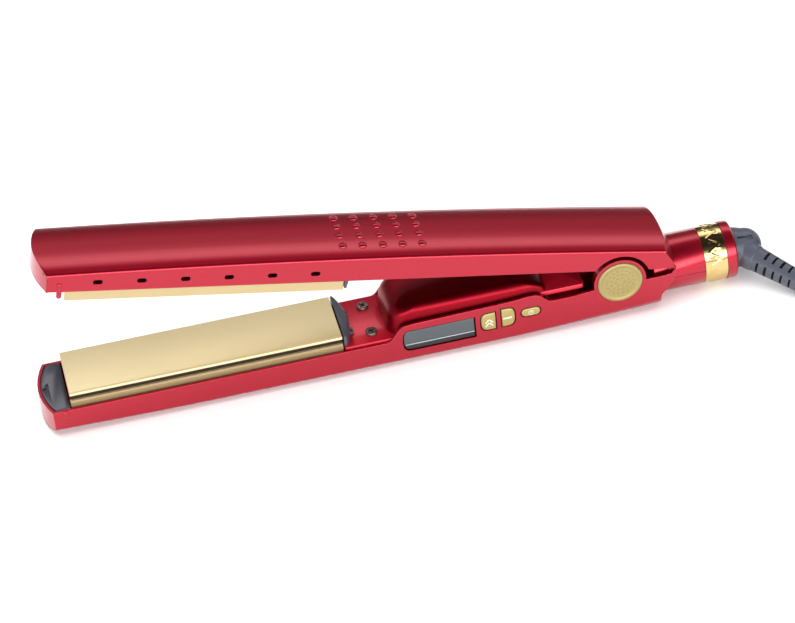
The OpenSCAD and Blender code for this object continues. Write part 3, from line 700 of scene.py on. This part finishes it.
def wall_rib(top, bottom):
    """A rounded upright rib on each side wall near the tip."""
    ribs = []
    for side in (-1, 1):
        rows = [[(-261 + r * cos(a), side * (HALF_W - 0.3 + 0.75 * r * sin(a)), z)
                 for a in (pi * k / 12 for k in range(13))]
                for z, r in ((top, 0.5), (top - 0.35, 1.0), (top - 1, 1.25), (bottom + 1, 1.25),
                             (bottom + 0.35, 1.0), (bottom, 0.5))]
        ribs.append(solid(rows))
    return joined(*ribs)


make_hinge_lugs()
make_grip_dots()
piece("upper_tip_ribs", wall_rib(11.4, 3.1), UPPER, RED, "upper_arm", "red_shell", angle=60)


# ---- lower shell: outlines as (x, value) points, read with curve_at or along ----

WALL_TOP = [(-275, -7.2), (-111, -7.2), (-109.4, -6.6), (-107, -3.7), (-104.6, -0.9),
            (-101.6, 0.5), (-97, 0.8), (-73, 1.3), (-51, 1.9), (-44, 2.6), (-41, 2.6),
            (-38.6, 1.9), (-35.8, -0.7), (-33.6, -2.4), (-31, -2.7), (-24, -2.7), (-14, -1.8),
            (-11, -1.7), (20, -1.6)]
WALL_FOOT = [(-275, -16.1), (-190, -17.6), (-60, -17.6), (-10, -15.5), (30, -12.4)]
BELLY = [(-275, -20.6), (-190, -22.2), (30, -22.2)]
BELLY_FLAT = [(-275, 8), (-190, 9), (-60, 9), (-10, 7), (30, 4)]
REAR_EDGE = [(-22.2, 21.7), (-12.9, 21.7), (-10.3, 24.2), (-7, 27.1), (-1.1, 29.3), (2.9, 29.7)]


def curve_at(points, x):
    """Smooth reading of y at x from (x, y) points, with no overshoot."""
    slopes = [(b[1] - a[1]) / (b[0] - a[0]) for a, b in zip(points, points[1:])]
    ends = [slopes[0]] + [0 if a * b <= 0 else 2 * a * b / (a + b)
                          for a, b in zip(slopes, slopes[1:])] + [slopes[-1]]
    for i, ((x0, y0), (x1, y1)) in enumerate(zip(points, points[1:])):
        if x <= x1 or i == len(slopes) - 1:
            h = x1 - x0
            t = clamp((x - x0) / h)
            return ((1 + 2 * t) * (1 - t) ** 2 * y0 + t * (1 - t) ** 2 * h * ends[i]
                    + t * t * (3 - 2 * t) * y1 + t * t * (t - 1) * h * ends[i + 1])


def lower_section(x, top):
    """Half a section at x as (|y|, z) points, from the wall's top round to the middle."""
    foot, bottom, flat = (curve_at(t, x) for t in (WALL_FOOT, BELLY, BELLY_FLAT))
    points = [(HALF_W, top + (foot - top) * t) for t in (0, 0.3, 0.52, 0.78, 1)]
    for i in range(1, 9):
        a = radians(90 * i / 8)
        points.append((flat + (HALF_W - flat) * cos(a), foot + (bottom - foot) * sin(a)))
    points += [(flat * t, bottom) for t in (0.75, 0.5, 0.25, 0)]
    return points


def full_row(half, x_at):
    """A row from the near wall's top under the belly to the far wall's top."""
    near = [(x_at(y, z), -y, z) for y, z in half]
    far_side = [(x_at(y, z), y, z) for y, z in reversed(half[:-1])]
    return near + far_side


def rear_x(y, z, share):
    """X of a point of the rear rows, which lean towards the shell's sloping rear edge."""
    end = along(REAR_EDGE, z)
    return REAR_X + (end - REAR_X) * share - HEEL_SAG * share * (y / HALF_W) ** 2


# Low corner, high corner and bowed end of each opening in the near wall.
WINDOW = ((-103.5, -14), (-69.5, -3), "front")
UP_KEY = ((-66.8, -11.7), (-59.6, -2), "front")
DOWN_KEY = ((-57, -11.6), (-50.4, -1.3), "back")
POWER_KEY = ((-47.6, -8.6), (-38.3, -3.8), "pill")


def make_lower_shell():
    """The trough with its hinge bosses, and openings for the window and the keys."""
    stations = [TIP_X, -269.5, -267, -264, -260, -256, -252, -240, -220, -200, -190, -170, -150,
                -130, -120, -113]
    stations += spread(-111.5, -101, 15) + [-98, -94, -88, -82, -76, -68.2, -58.3, -49]
    stations += spread(-45, -30, 16) + [-27, -22, -17, -14, -11, -6, 0, 6, 12, 16, REAR_X]
    rows = [full_row(lower_section(s, curve_at(WALL_TOP, s)), lambda y, z: tip_bow(s, y))
            for s in stations]
    for share, top in ((0.45, -1.5), (0.75, -1.1), (0.9, 0.6), (1, 2.9)):
        rows.append(full_row(lower_section(REAR_X + 9 * share, top),
                             lambda y, z: rear_x(y, z, share)))
    half = lower_section(TIP_X, curve_at(WALL_TOP, TIP_X))
    end_wall = [[(tip_bow(TIP_X, y * k), y * k, z) for k in (-1, -0.75, -0.5, -0.25, 0, 0.25, 0.5,
                                                            0.75, 1)] for y, z in half[:-4]]
    collar = []
    for x, y, z in rows[-1]:
        out = Vector((0, y, z - TAIL_Z)).normalized()
        collar.append((x, out.y * SPIGOT_R, TAIL_Z + out.z * SPIGOT_R))
    obj = mesh_object("lower_shell", joined(net(rows), net(end_wall), net([rows[-1], collar])),
                      LOWER)
    thicken(obj)
    merge_flats(obj, walls_only=True)
    round_edges(obj, 0.4, 4, 40, full_width=True)
    bosses = [round_about_y(BOSS_R, -HALF_W, -14.5), round_about_y(BOSS_R, 14.5, HALF_W)]
    combine(obj, bosses, LOWER, "UNION")
    seats = [round_about_y(SEAT_R, -25, -17.4), round_about_y(SEAT_R, 17.4, 25)]
    combine(obj, seats, LOWER, "DIFFERENCE")
    openings = [prism(key_outline(*spec, grow=grow), -30, -16) for spec, grow in
                ((WINDOW, 0.3), (UP_KEY, 0.35), (DOWN_KEY, 0.35), (POWER_KEY, 0.35))]
    combine(obj, openings, LOWER, "DIFFERENCE")
    merge_flats(obj)
    finish_piece(obj, RED, "lower_arm", "red_shell", ["lower_housing"], bevel=0.45, segments=4)
    weigh_normals(obj)


make_lower_shell()
piece("lower_tip_ribs", wall_rib(-7.4, -11.4), LOWER, RED, "lower_arm", "red_shell", angle=60)


# ---- inner cover: the raised block between the arms and the screw floor behind the plates ----

def cover_sheet(x0, x1, z0, z1, corner=0.6):
    """A flat or upright sheet of an inner cover."""
    return slab(rounded_box_outline(x0, x1, 16.9, corner, corner, steps=2), z0, z1)


def make_lower_cover():
    """The raised block, the step behind it and the screw floor in front of it."""
    slices = [(-8, -109.6, -34, 15.9), (-6, -109.5, -34, 15.9), (1, -108.6, -34, 15.9),
              (3.4, -107.8, -34.8, 15.9), (5.2, -106.6, -36.6, 15.6), (6.6, -105, -39.4, 14.9),
              (7.6, -103, -43, 13.9), (8.2, -100.6, -48, 12.8), (8.5, -98.4, -53, 11.6),
              (8.6, -96, -57, 10.4)]
    raised = stacked([(z, rounded_box_outline(x0, x1, half, min(8.0, half - 0.5), 3.5, steps=10))
                      for z, x0, x1, half in slices])
    step = stacked([(z, rounded_box_outline(-40, -16.5 + grow, 15.9 + grow, 1.5, 1.5, steps=4))
                    for z, grow in ((-0.8, 0), (1.1, 0), (1.45, -0.15), (1.6, -0.5))])
    floor = cover_sheet(COVER_X, -104, -8, -6)
    # The raised block gets the darker red: painted shade under the upper arm.
    piece("inner_cover_block", raised, LOWER, SHADED_COVER_RED, "lower_arm", "dark_red_cover",
          ["lower_inner_cover"], bevel=0.3, angle=50)
    # The step and the screw floor get the lighter red: painted light from above.
    piece("inner_cover_step", step, LOWER, LIT_FLOOR_RED, "lower_arm", "dark_red_cover", bevel=0.15)
    piece("screw_floor", floor, LOWER, LIT_FLOOR_RED, "lower_arm", "dark_red_cover", bevel=0.25)


def make_upper_cover():
    """The upper arm's plain cover: its screw floor, a riser and a roof."""
    flat = cover_sheet(COVER_X, -111, 6, 8)
    riser = cover_sheet(-112.5, -111, 6.2, 13.4, corner=0.3)
    roof = cover_sheet(-112.5, -20, 12, 13.5)
    # The upper cover gets the darker red too: painted shade inside the upper arm.
    piece("upper_cover", joined(flat, riser, roof), UPPER, SHADED_COVER_RED, "upper_arm",
          "dark_red_cover", ["upper_inner_cover"], bevel=0.25)


make_lower_cover()
make_upper_cover()


# ---- end caps, plates and screws: one pattern for both arms ----

def cap_outline(half, front, back):
    """A cap's outline, its front bowed like the tip."""
    bowed = [(front + TIP_SAG * k * k, half * k) for k in spread(-1, 1, 25)]
    return bowed + [(back, half), (back, -half)]


def tip_cap():
    """A slate cap over the tip, with a curved fence that guards the plate's end."""
    cap = stacked([(z, cap_outline(HALF_W - CAP_INSET + grow, TIP_X + CAP_INSET - grow, -258.7))
                   for z, grow in ((11, 0), (7.35, 0), (7.05, -0.3), (7, -0.7))])
    fence = []
    for y in spread(-15.8, 15.8, 25):
        k = (y / 15.8) ** 2
        foot, crest_x = -263.7 + 1.0 * k, -261.9 + 0.8 * k
        top = 1.7 + 0.9 * k * k
        fence.append([(-259.9, y, 7.2), (-259.9, y, top + 0.35), (-260.2, y, top),
                      (-260.9, y, top + 0.1), (crest_x, y, top + 0.9),
                      (crest_x - 0.4, y, 4.6), ((crest_x + foot) / 2 - 0.2, y, 6.1),
                      (foot, y, 7.0), (foot, y, 7.2)])
    return joined(cap, solid(fence))


def rear_cap():
    """A D-shaped fence behind the plate, thin at its crest, with two small clips at its foot."""
    slices = []
    for z, grow, thin in ((6.2, 0, 0), (4, 0, 0), (1.6, -0.3, 0.25), (0.8, -0.6, 0.5),
                          (0.5, -1.1, 0.9)):
        half = PLATE_HALF + grow * 0.2
        bowed = [(COVER_X + 1.4 - 0.6 * thin + (3.9 + grow) * (1 - k * k), half * k)
                 for k in spread(-1, 1, 25)]
        foot = COVER_X + 0.15 * thin
        slices.append((z, [(foot, -half), *bowed, (foot, half)]))
    clips = [block((-126.6, y - 0.35, 4.6), (-124.4, y + 0.35, 6.1))
             for y in (-7.9, -5.3, 5.3, 7.9)]
    return joined(stacked(slices), *clips)


def plate(half, corner, grooved):
    """The heating plate: a working face with rounded sides, and a gold rail below a groove."""
    top = 0.8 * corner
    right = [(half - corner + corner * sin(a), 0.1 + top * (1 - cos(a)))
             for a in (pi / 2 * k / 6 for k in range(7))]
    if grooved:
        right += [(half, top + 0.35), (14.6, top + 0.55), (14.6, 4.3)]
    right += [(half - 0.3, 4.4), (half, 4.7), (half, 5.4), (half - 0.3, 5.5),
              (half - 0.3, 5.75), (half, 5.85), (half, 8.0), (15.5, 8.0), (15.5, 6), (13.875, 6),
              (13.875, 2.6)]
    section = right + [(-y, z) for y, z in reversed(right)]
    rows = []
    for x, shrink in ((PLATE_X[0], 0.25), (PLATE_X[0] + 0.25, 0), (PLATE_X[1] - 0.25, 0),
                      (PLATE_X[1], 0.25)):
        rows.append([(x, y * (1 - shrink / half), max(z, 0.1 + shrink)) for y, z in section])
    return solid(rows)


def make_plate(name, place, body, node, half, corner, grooved):
    obj = piece(name, plate(half, corner, grooved), place, [GOLD_PLATE, SHADED_GOLD_RAIL, GROOVE_SHADE], body,
                "gold_plate", [node], angle=30)
    # The groove's faces get dark bronze: painted shade in the groove.
    if grooved:
        paint_faces(obj, place, 2, lambda at: abs(at.y) > 14 and at.z > 0.8 * corner + 0.4)
    # The rail's faces get the darker gold, which is painted shade.
    rail_z = 4.35 if grooved else 0.45
    paint_faces(obj, place, 1, lambda at: abs(at.y) > 14 and at.z > rail_z)


def screw(x, y, face, r, depth):
    """A pan head whose crown lies at height face."""
    profile = [(r * 0.2, face + 0.02), (r * 0.7, face + 0.06), (r * 0.92, face + 0.28),
               (r, face + 0.7), (r, face + depth)]
    return dome(x, y, profile, 40)


def make_screws(name, place, body, node):
    """Two cover screws and one tip screw, with their cross recesses."""
    # Place, height of the crown, radius, depth and half the length of the recess.
    spots = ((SCREW_X, -SCREW_Y, 4.5, 2.8, 1.7, 1.75), (SCREW_X, SCREW_Y, 4.5, 2.8, 1.7, 1.75),
             (TIP_SCREW_X, 0, 7.15, 1.8, 1.2, 1.15))
    obj = mesh_object(name, joined(*(screw(*spot[:-1]) for spot in spots)), place)
    slots = []
    for x, y, face, _, _, span in spots:
        spin = Matrix.Translation((x, y, 0)) @ turning(20 if y < 0 else 55, "Z")
        for long, wide in ((span, 0.42), (0.42, span)):
            slots.append(moved(block((-long, -wide, face - 1), (long, wide, face + 1.1)), spin))
    combine(obj, slots, place, "DIFFERENCE")
    finish_piece(obj, SCREW, body, "black_steel", [node], bevel=0.12, segments=2)


def make_arm_ends():
    """The guards at both ends of each plate, the plate and the screws."""
    for name, place, body, float_body in (("upper", UPPER, "upper_arm", "upper_float"),
                                          ("lower", LOWER @ FLIP, "lower_arm", "lower_float")):
        guard = mesh_object(f"{name}_tip_guard", tip_cap(), place)
        recess = [block((-267.3, -0.9, 6), (-266.1, 3.2, 7.9)),
                  block((-268.9, -0.7, 6), (-266.7, 0.6, 7.9))]
        combine(guard, recess, place, "DIFFERENCE")
        finish_piece(guard, [CAP_SLATE, DARK_SHADE_AND_REFLECTION], body, "cap_slate", [f"{name}_tip_cap"],
                     bevel=0.15, angle=40)
        # The faces turned to the plate's end get the near-black paint: painted shade in the gap
        # between the fence and the plate.
        paint_faces(guard, place, 1, lambda at: at.x > -260.0 and at.z > 2.2)
        piece(f"{name}_rear_guard", rear_cap(), place, SLATE, body, "cap_slate",
              [f"{name}_rear_cap"], bevel=0.15, angle=40)
        shape = (PLATE_HALF, 1.5, True) if name == "lower" else (16.4, 0.5, False)
        make_plate(f"{name}_hot_plate", place, float_body, f"{name}_plate", *shape)
        make_screws(f"{name}_cross_screws", place, body, f"{name}_screws")


make_arm_ends()


# ---- display and keys ----

def pane():
    """The display's window: a flat glass face with a slight taper at its edge."""
    outline = key_outline(*WINDOW, grow=-0.35)
    rows = [[(x, y, z) for x, z in outline] for y in (-16.8, -18.0)]
    rows.append([(x - 0.02 * (x + 86.5), -18.2, z - 0.04 * (z + 8.5)) for x, z in outline])
    return solid(rows)


def make_window():
    """The pane, with a dark strip along its foot that is a painted reflection of its bevel, and
    above that a fine bright strip that is a painted highlight.
    """
    piece("display_pane", pane(), LOWER, GLASS, "lower_arm", "window_glass", ["display_window"],
          bevel=0.08, angle=20)
    # A thin near-black sheet over the pane's foot: a painted dark reflection.
    foot = [(-102.6, -10.9), (-102.2, -12.1), (-101.2, -13.1), (-99.6, -13.45), (-69.95, -13.45),
            (-69.95, -10.9)]
    piece("window_dark_reflection_strip", prism(foot, -18.33, -18.1), LOWER, DARK_SHADE_AND_REFLECTION, "lower_arm",
          "window_glass", bevel=0.05)
    # A thin pale bar along the pane: a painted highlight.
    piece("window_highlight_strip", block((-102.5, -18.5, -10.95), (-69.95, -18.1, -10.6)), LOWER,
          GLASS_HIGHLIGHT, "lower_arm", "window_glass", bevel=0.08)


def key_cap(spec):
    """A key that stands out of the wall, with a rounded edge."""
    rows = [[(x, y, z) for x, z in key_outline(*spec, grow)] for y, grow in
            ((-17.0, -0.15), (-18.35, -0.15), (-18.72, -0.3), (-18.93, -0.62), (-19.0, -1.1))]
    return solid(rows)


def raised_bar(points, half=0.35):
    """A thin line through (x, z) points, raised on a key's face."""
    bars = []
    for (x0, z0), (x1, z1) in zip(points, points[1:]):
        run = Vector((x1 - x0, z1 - z0)).normalized() * half
        side = Vector((-run.y, run.x))
        bars.append(prism([(x0 - run.x + side.x, z0 - run.y + side.y),
                           (x1 + run.x + side.x, z1 + run.y + side.y),
                           (x1 + run.x - side.x, z1 + run.y - side.y),
                           (x0 - run.x - side.x, z0 - run.y - side.y)], -19.3, -18.8))
    return joined(*bars)


def make_keys():
    """The three keys with a double chevron, a bar and a power sign, and a dark sheet behind them
    that is painted shade in the gaps round them.
    """
    chevrons = joined(*(raised_bar([(-64.6, z), (-63, z + 1.9), (-61.4, z)])
                        for z in (-7.1, -8.9)))
    minus = raised_bar([(-55.9, -6.5), (-52.6, -6.5)], half=0.5)
    ring = [(-43 + 1.15 * cos(radians(a)), -6.2 + 1.15 * sin(radians(a)))
            for a in range(120, 421, 30)]
    mark = joined(raised_bar(ring, half=0.22), raised_bar([(-43, -6.3), (-43, -4.9)], half=0.22))
    for name, spec, sign, body, node in (
            ("up_key_cap", UP_KEY, chevrons, "up_key", "up_button"),
            ("down_key_cap", DOWN_KEY, minus, "down_key", "down_button"),
            ("power_key_cap", POWER_KEY, mark, "power_key", "power_button")):
        cap = piece(name, joined(key_cap(spec), sign), LOWER, [GOLD_TRIM, KEY_MARK], body,
                    "gold_trim", [node], bevel=0.1, segments=2, angle=50)
        paint_faces(cap, LOWER, 1, lambda at: at.y < -19.05)
    # A dark sheet behind the key openings: painted shade, seen in the gaps round the keys.
    bed = block((-68.6, -16.3, -13.2), (-37, -15.95, -0.2))
    piece("key_gap_shade", bed, LOWER, RECESS_SHADE, "lower_arm", "dark_red_cover", bevel=0.1)


make_window()
make_keys()


# ---- hinge discs ----

def disc_face(r):
    """Height of the disc's face over the arm's wall at radius r: a rolled rim, a shallow dish."""
    if r > 9.3:
        return 0.75 - 0.55 * clamp((r - 9.9) / 0.8) ** 2
    return 0.42 + 0.33 * ease((r - 8.5) / 0.8)


def hinge_disc():
    """The gold disc on the far boss, with three rings of small beads on its face."""
    rings = [(r, disc_face(r)) for r in
             (0.05, 1.5, 3, 4.5, 6, 7.5, 8.5, 8.75, 9, 9.25, 9.6, 10, 10.3, 10.55, DISC_R)]
    rows = [[(x, HALF_W + y, z) for x, z in circle(r, 96)] for r, y in rings + [(DISC_R, -1)]]
    marks = []
    for ring, (radius, count, size) in enumerate(((6.4, 18, 0.42), (4.3, 12, 0.5), (2.2, 6, 0.55))):
        for k in range(count):
            a = 2 * pi * (k + 0.5 * (ring % 2)) / count
            cx, cz = radius * cos(a), radius * sin(a)
            bead = [[(cx + x, HALF_W + y, cz + z) for x, z in circle(q, 10)]
                    for q, y in ((size, 0.3), (size * 0.85, 0.62), (size * 0.4, 0.72))]
            marks.append(solid(bead))
    return joined(solid(rows), *marks)


NEAR_SIDE = Matrix.Scale(-1, 4, (0, 1, 0))
for side, place in (("far", LOWER), ("near", LOWER @ NEAR_SIDE)):
    piece(f"{side}_hinge_disc", hinge_disc(), place, SANDED_GOLD, "lower_arm", "gold_trim",
          [f"{side}_hinge_cap"], angle=50)


# ---- tail ----

TAIL = LOWER @ Matrix.Translation((0, 0, TAIL_Z))


def make_tail():
    """The barrel in two halves with a fine seam, and the ring on its end."""
    tube = [(REAR_X, 10.8), (REAR_X, BARREL_R), (BAND_X, BARREL_R), (BAND_X, SPIGOT_R),
            (RING_END - 2, SPIGOT_R), (RING_END - 2, 9.6), (49.6, 9.6), (49.6, 11.2),
            (47.2, 11.2), (47.2, 6), (45.6, 6), (45.6, 10.8)]
    seam = 0.35
    upright = turning(90, "X")
    for name, start, hides in (("lower", 90, ()), ("upper", -90, ["tail_top_cover"])):
        half = half_turned(tube, start + seam, start + 180 - seam)
        piece(f"tail_half_{name}", moved(half, upright), TAIL, RED, "lower_arm", "red_shell",
              hides, bevel=0.12, angle=50)
    ring = [(RING_X + 0.12, 12.3), (RING_X + 0.12, 13.45), (RING_X + 0.3, 13.6),
            (RING_END - 1.4, 13.6), (RING_END - 0.7, 13.4), (RING_END - 0.2, 12.9),
            (RING_END, 12.2), (RING_END, 9.6), (RING_X + 3.2, 9.6), (RING_X + 3.2, 12.3)]
    piece("tail_ring", turned(ring, 128), TAIL, RED, "lower_arm", "red_shell",
          ["tail_end_ring"], angle=25)


def make_band():
    """A polished band with an embossed run of leaves and beads."""
    sides, steps = 360, 28
    rows = []
    for i in range(steps + 1):
        t = i / steps
        x = BAND_X + 0.1 + (RING_X - BAND_X - 0.1) * t
        lip = 0.35 * (1 - ease(min(t, 1 - t) / 0.09))
        row = []
        for k in range(sides):
            a = 2 * pi * k / sides
            vine = exp(-((t - 0.5 - 0.22 * sin(12 * a)) / 0.055) ** 2)
            turn = 12 * a / pi + 0.5
            side = 1 if int(turn) % 2 == 0 else -1
            leaf = exp(-((turn % 1 - 0.5) / 0.2) ** 2 - ((t - 0.5 + 0.17 * side) / 0.10) ** 2)
            relief = 0.24 * max(vine, leaf) if 0.12 < t < 0.88 else 0
            r = BARREL_R + 0.12 + relief - 0.3 * lip
            row.append((x, r * cos(a), r * sin(a)))
        rows.append(row)
    rows += [[(x, y, z) for y, z in circle(12.3, sides)] for x in (RING_X, BAND_X + 0.1)]
    rows.append(rows[0])
    piece("tail_gold_band", net(rows, loop=True), TAIL, GOLD_BAND, "lower_arm", "gold_band",
          ["tail_band"], angle=60)


def relief_matrix():
    """Puts +X along the strain relief, from where its line leaves the tail's axis."""
    return (TAIL @ Matrix.Translation((RELIEF_X, 0, 0)) @ Matrix.Rotation(RELIEF_TURN, 4, "Z")
            @ Matrix.Rotation(RELIEF_DIP, 4, "Y"))


def make_elbow():
    """Cylinder, rounded end and a flare for the relief, blended into one moulding."""
    round_end = [(ELBOW_X + 8.2 * sin(radians(a)), 8.3 * cos(radians(a)))
                 for a in range(0, 90, 6)]
    body = turned([(RING_END - 5, 0.01), (RING_END - 5, 9.3), (RING_END + 0.3, 9.3),
                   (RING_END + 0.3, 9.5), (RING_END + 0.7, 9.75), (60.2, 9.65), (61.8, 9.3),
                   (63.4, 8.8)] + round_end + [(ELBOW_X + 8.2, 0.01)], 96, closed=False)
    elbow = mesh_object("swivel_knuckle", body, TAIL)
    flare = turned([(0, 0.01), (0, 6.9), (6, 6.8), (8, 6.6), (10.5, 6.4), (12.4, 6.3),
                    (12.4, 0.01)], 64, closed=False)
    combine(elbow, [flare], relief_matrix(), "UNION")
    remesh = elbow.modifiers.new("skin", "REMESH")
    remesh.mode = "VOXEL"
    remesh.voxel_size = 0.32 * MM
    smooth = elbow.modifiers.new("blend", "SMOOTH")
    smooth.iterations = 14
    smooth.factor = 0.5
    apply_modifiers(elbow)
    tilt = TAIL @ turning(26, "X")
    notches = [block((60.6, -0.55, 7.6), (67.4, 0.55, 14)), block((66, -1.4, 6.9), (68.2, 1.0, 14))]
    combine(elbow, notches, tilt, "DIFFERENCE")
    finish_piece(elbow, SLATE, "cord_swivel", "swivel_slate", ["swivel_elbow"], angle=40)


def relief_radius(t):
    """Radius of the strain relief at a share of its length."""
    return 6.2 - 2.2 * t


def make_relief():
    """The tapered strain relief, with four runs of staggered slots round it."""
    sides, steps = 96, 150
    length = RELIEF_END - RELIEF_START
    rows = []
    for i in range(steps + 1):
        t = i / steps
        x = RELIEF_START + length * t
        row = []
        for k in range(sides):
            a = 2 * pi * k / sides
            turn = (a / (pi / 2) + 0.5) % 4
            quarter = turn % 1
            stagger = SLOT_PITCH / 2 * (int(turn) % 2)
            phase = (x - 15.5 - stagger) / SLOT_PITCH
            near_slot = abs(phase - round(phase)) * SLOT_PITCH
            in_run = 0 <= round(phase) <= (6 if stagger else 7)
            deep = in_run and near_slot < 0.46 and 0.2 < quarter < 0.8
            r = relief_radius(t) - (1.7 - 0.5 * t if deep else 0)
            row.append((x, r * cos(a), r * sin(a)))
        rows.append(row)
    rows.append([(x + 0.25, y * 0.93, z * 0.93) for x, y, z in rows[-1]])
    sleeve = piece("relief_sleeve", solid(rows), relief_matrix(),
                   [SLATE, DARK_SHADE_AND_REFLECTION], "cord_swivel", "swivel_slate", ["strain_relief"], angle=40)

    def in_slot(at):
        t = (at.x - RELIEF_START) / length
        return hypot(at.y, at.z) < relief_radius(t) - 0.2 and 0.03 < t < 0.97

    # The slots' floors and sides get the near-black paint: painted shade in the slots.
    paint_faces(sleeve, relief_matrix(), 1, in_slot)


make_tail()
make_band()
make_elbow()
make_relief()


# ---- working parts that stay as the CAD has them ----

CAD_FINISH = {
    LCD: ["display_module"],
    GREEN: ["control_board", "power_board"],
    BOARD_DARK: ["tact_switches", "board_parts"],
    STEEL: ["board_screws", "hinge_pin", "lower_float_springs", "upper_float_springs",
            "lower_heater_clip", "upper_heater_clip"],
    BLACK_STEEL: ["hinge_sleeve", "hinge_spring"],
    SLEEVE: ["lower_leads", "upper_leads"],
    CERAMIC: ["thermal_fuse", "hinge_washers", "lower_heater", "upper_heater"],
    BRONZE: ["hinge_bushes", "swivel_brushes", "slip_rings", "lower_thermistor",
             "upper_thermistor"],
    CARRIER: ["lower_carrier", "upper_carrier"],
}
finish_of = {name: finish for finish, names in CAD_FINISH.items() for name in names}

for name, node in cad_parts.items():
    node.data.materials.clear()
    node.data.materials.append(finish_of.get(name, SLATE))


# ---- studio ----

# Brightness of the studio round the object's long axis, by the share of the half turn from the
# far side's horizon over the top to the near side's: two strip boxes with dark between them.
STUDIO_SKY = [(0.0, 0.05), (0.10, 0.08), (0.17, 0.2), (0.21, 0.6), (0.25, 1.7), (0.28, 2.3),
              (0.32, 2.3), (0.35, 1.1), (0.375, 0.3), (0.40, 0.05), (0.62, 0.03), (0.72, 0.1),
              (0.78, 0.9), (0.82, 4.0), (0.88, 6.5), (0.93, 5.6), (0.965, 1.8), (1.0, 0.5)]
SKY_STRENGTH = 7    # the ramp holds brightness as a share of this


def node_maths(tree, operation, *inputs):
    node = tree.nodes.new("ShaderNodeMath")
    node.operation = operation
    return wire(tree, node, dict(enumerate(inputs))).outputs[0]


def make_lamp():
    """A wide lamp over the floor, unseen in reflections."""
    data = bpy.data.lights.new("overhead", "AREA")
    data.shape = "RECTANGLE"
    data.size, data.size_y = 3.0, 2.4
    data.energy = 58
    lamp = add_object("overhead", data)
    lamp.location = (0, 0.1, 1.7)
    aim = Vector((0, 0, 0)) - lamp.location
    lamp.rotation_euler = aim.to_track_quat("-Z", "Y").to_euler()
    lamp.visible_glossy = False


def make_studio():
    """White floor, two long soft boxes in the sky, dim ends, and a lamp for the floor."""
    bpy.context.scene.view_settings.view_transform = "Standard"
    world = bpy.data.worlds.new("studio")
    bpy.context.scene.world = world
    world.use_nodes = True
    tree = world.node_tree
    add = tree.nodes.new
    split = wire(tree, add("ShaderNodeSeparateXYZ"),
                 {"Vector": add("ShaderNodeTexCoord").outputs["Generated"]})
    turn = node_maths(tree, "ARCTAN2", split.outputs["Z"], split.outputs["Y"])
    ramp = wire(tree, add("ShaderNodeValToRGB"), {"Fac": node_maths(tree, "DIVIDE", turn, pi)})
    ramp.color_ramp.interpolation = "EASE"
    for i, (at, level) in enumerate(STUDIO_SKY):
        stop = ramp.color_ramp.elements[i] if i < 2 else ramp.color_ramp.elements.new(at)
        stop.position = at
        stop.color = [level / SKY_STRENGTH] * 3 + [1]
    along_object = node_maths(tree, "ABSOLUTE", split.outputs["X"])
    blend = add("ShaderNodeMix")
    blend.data_type = "RGBA"
    wire(tree, blend, {"A": ramp.outputs["Color"], "B": (0.06, 0.06, 0.06, 1),
                       "Factor": node_maths(tree, "POWER", along_object, 4)})
    wire(tree, tree.nodes["Background"],
         {"Color": blend.outputs["Result"], "Strength": SKY_STRENGTH})
    make_lamp()
    part = net([[(x * 1000, y * 1000, 0) for x in spread(-3, 3, 9)] for y in spread(-3, 3, 9)])
    floor = mesh_object("floor", part, ROW)
    floor.data.materials.append(FLOOR)


make_studio()
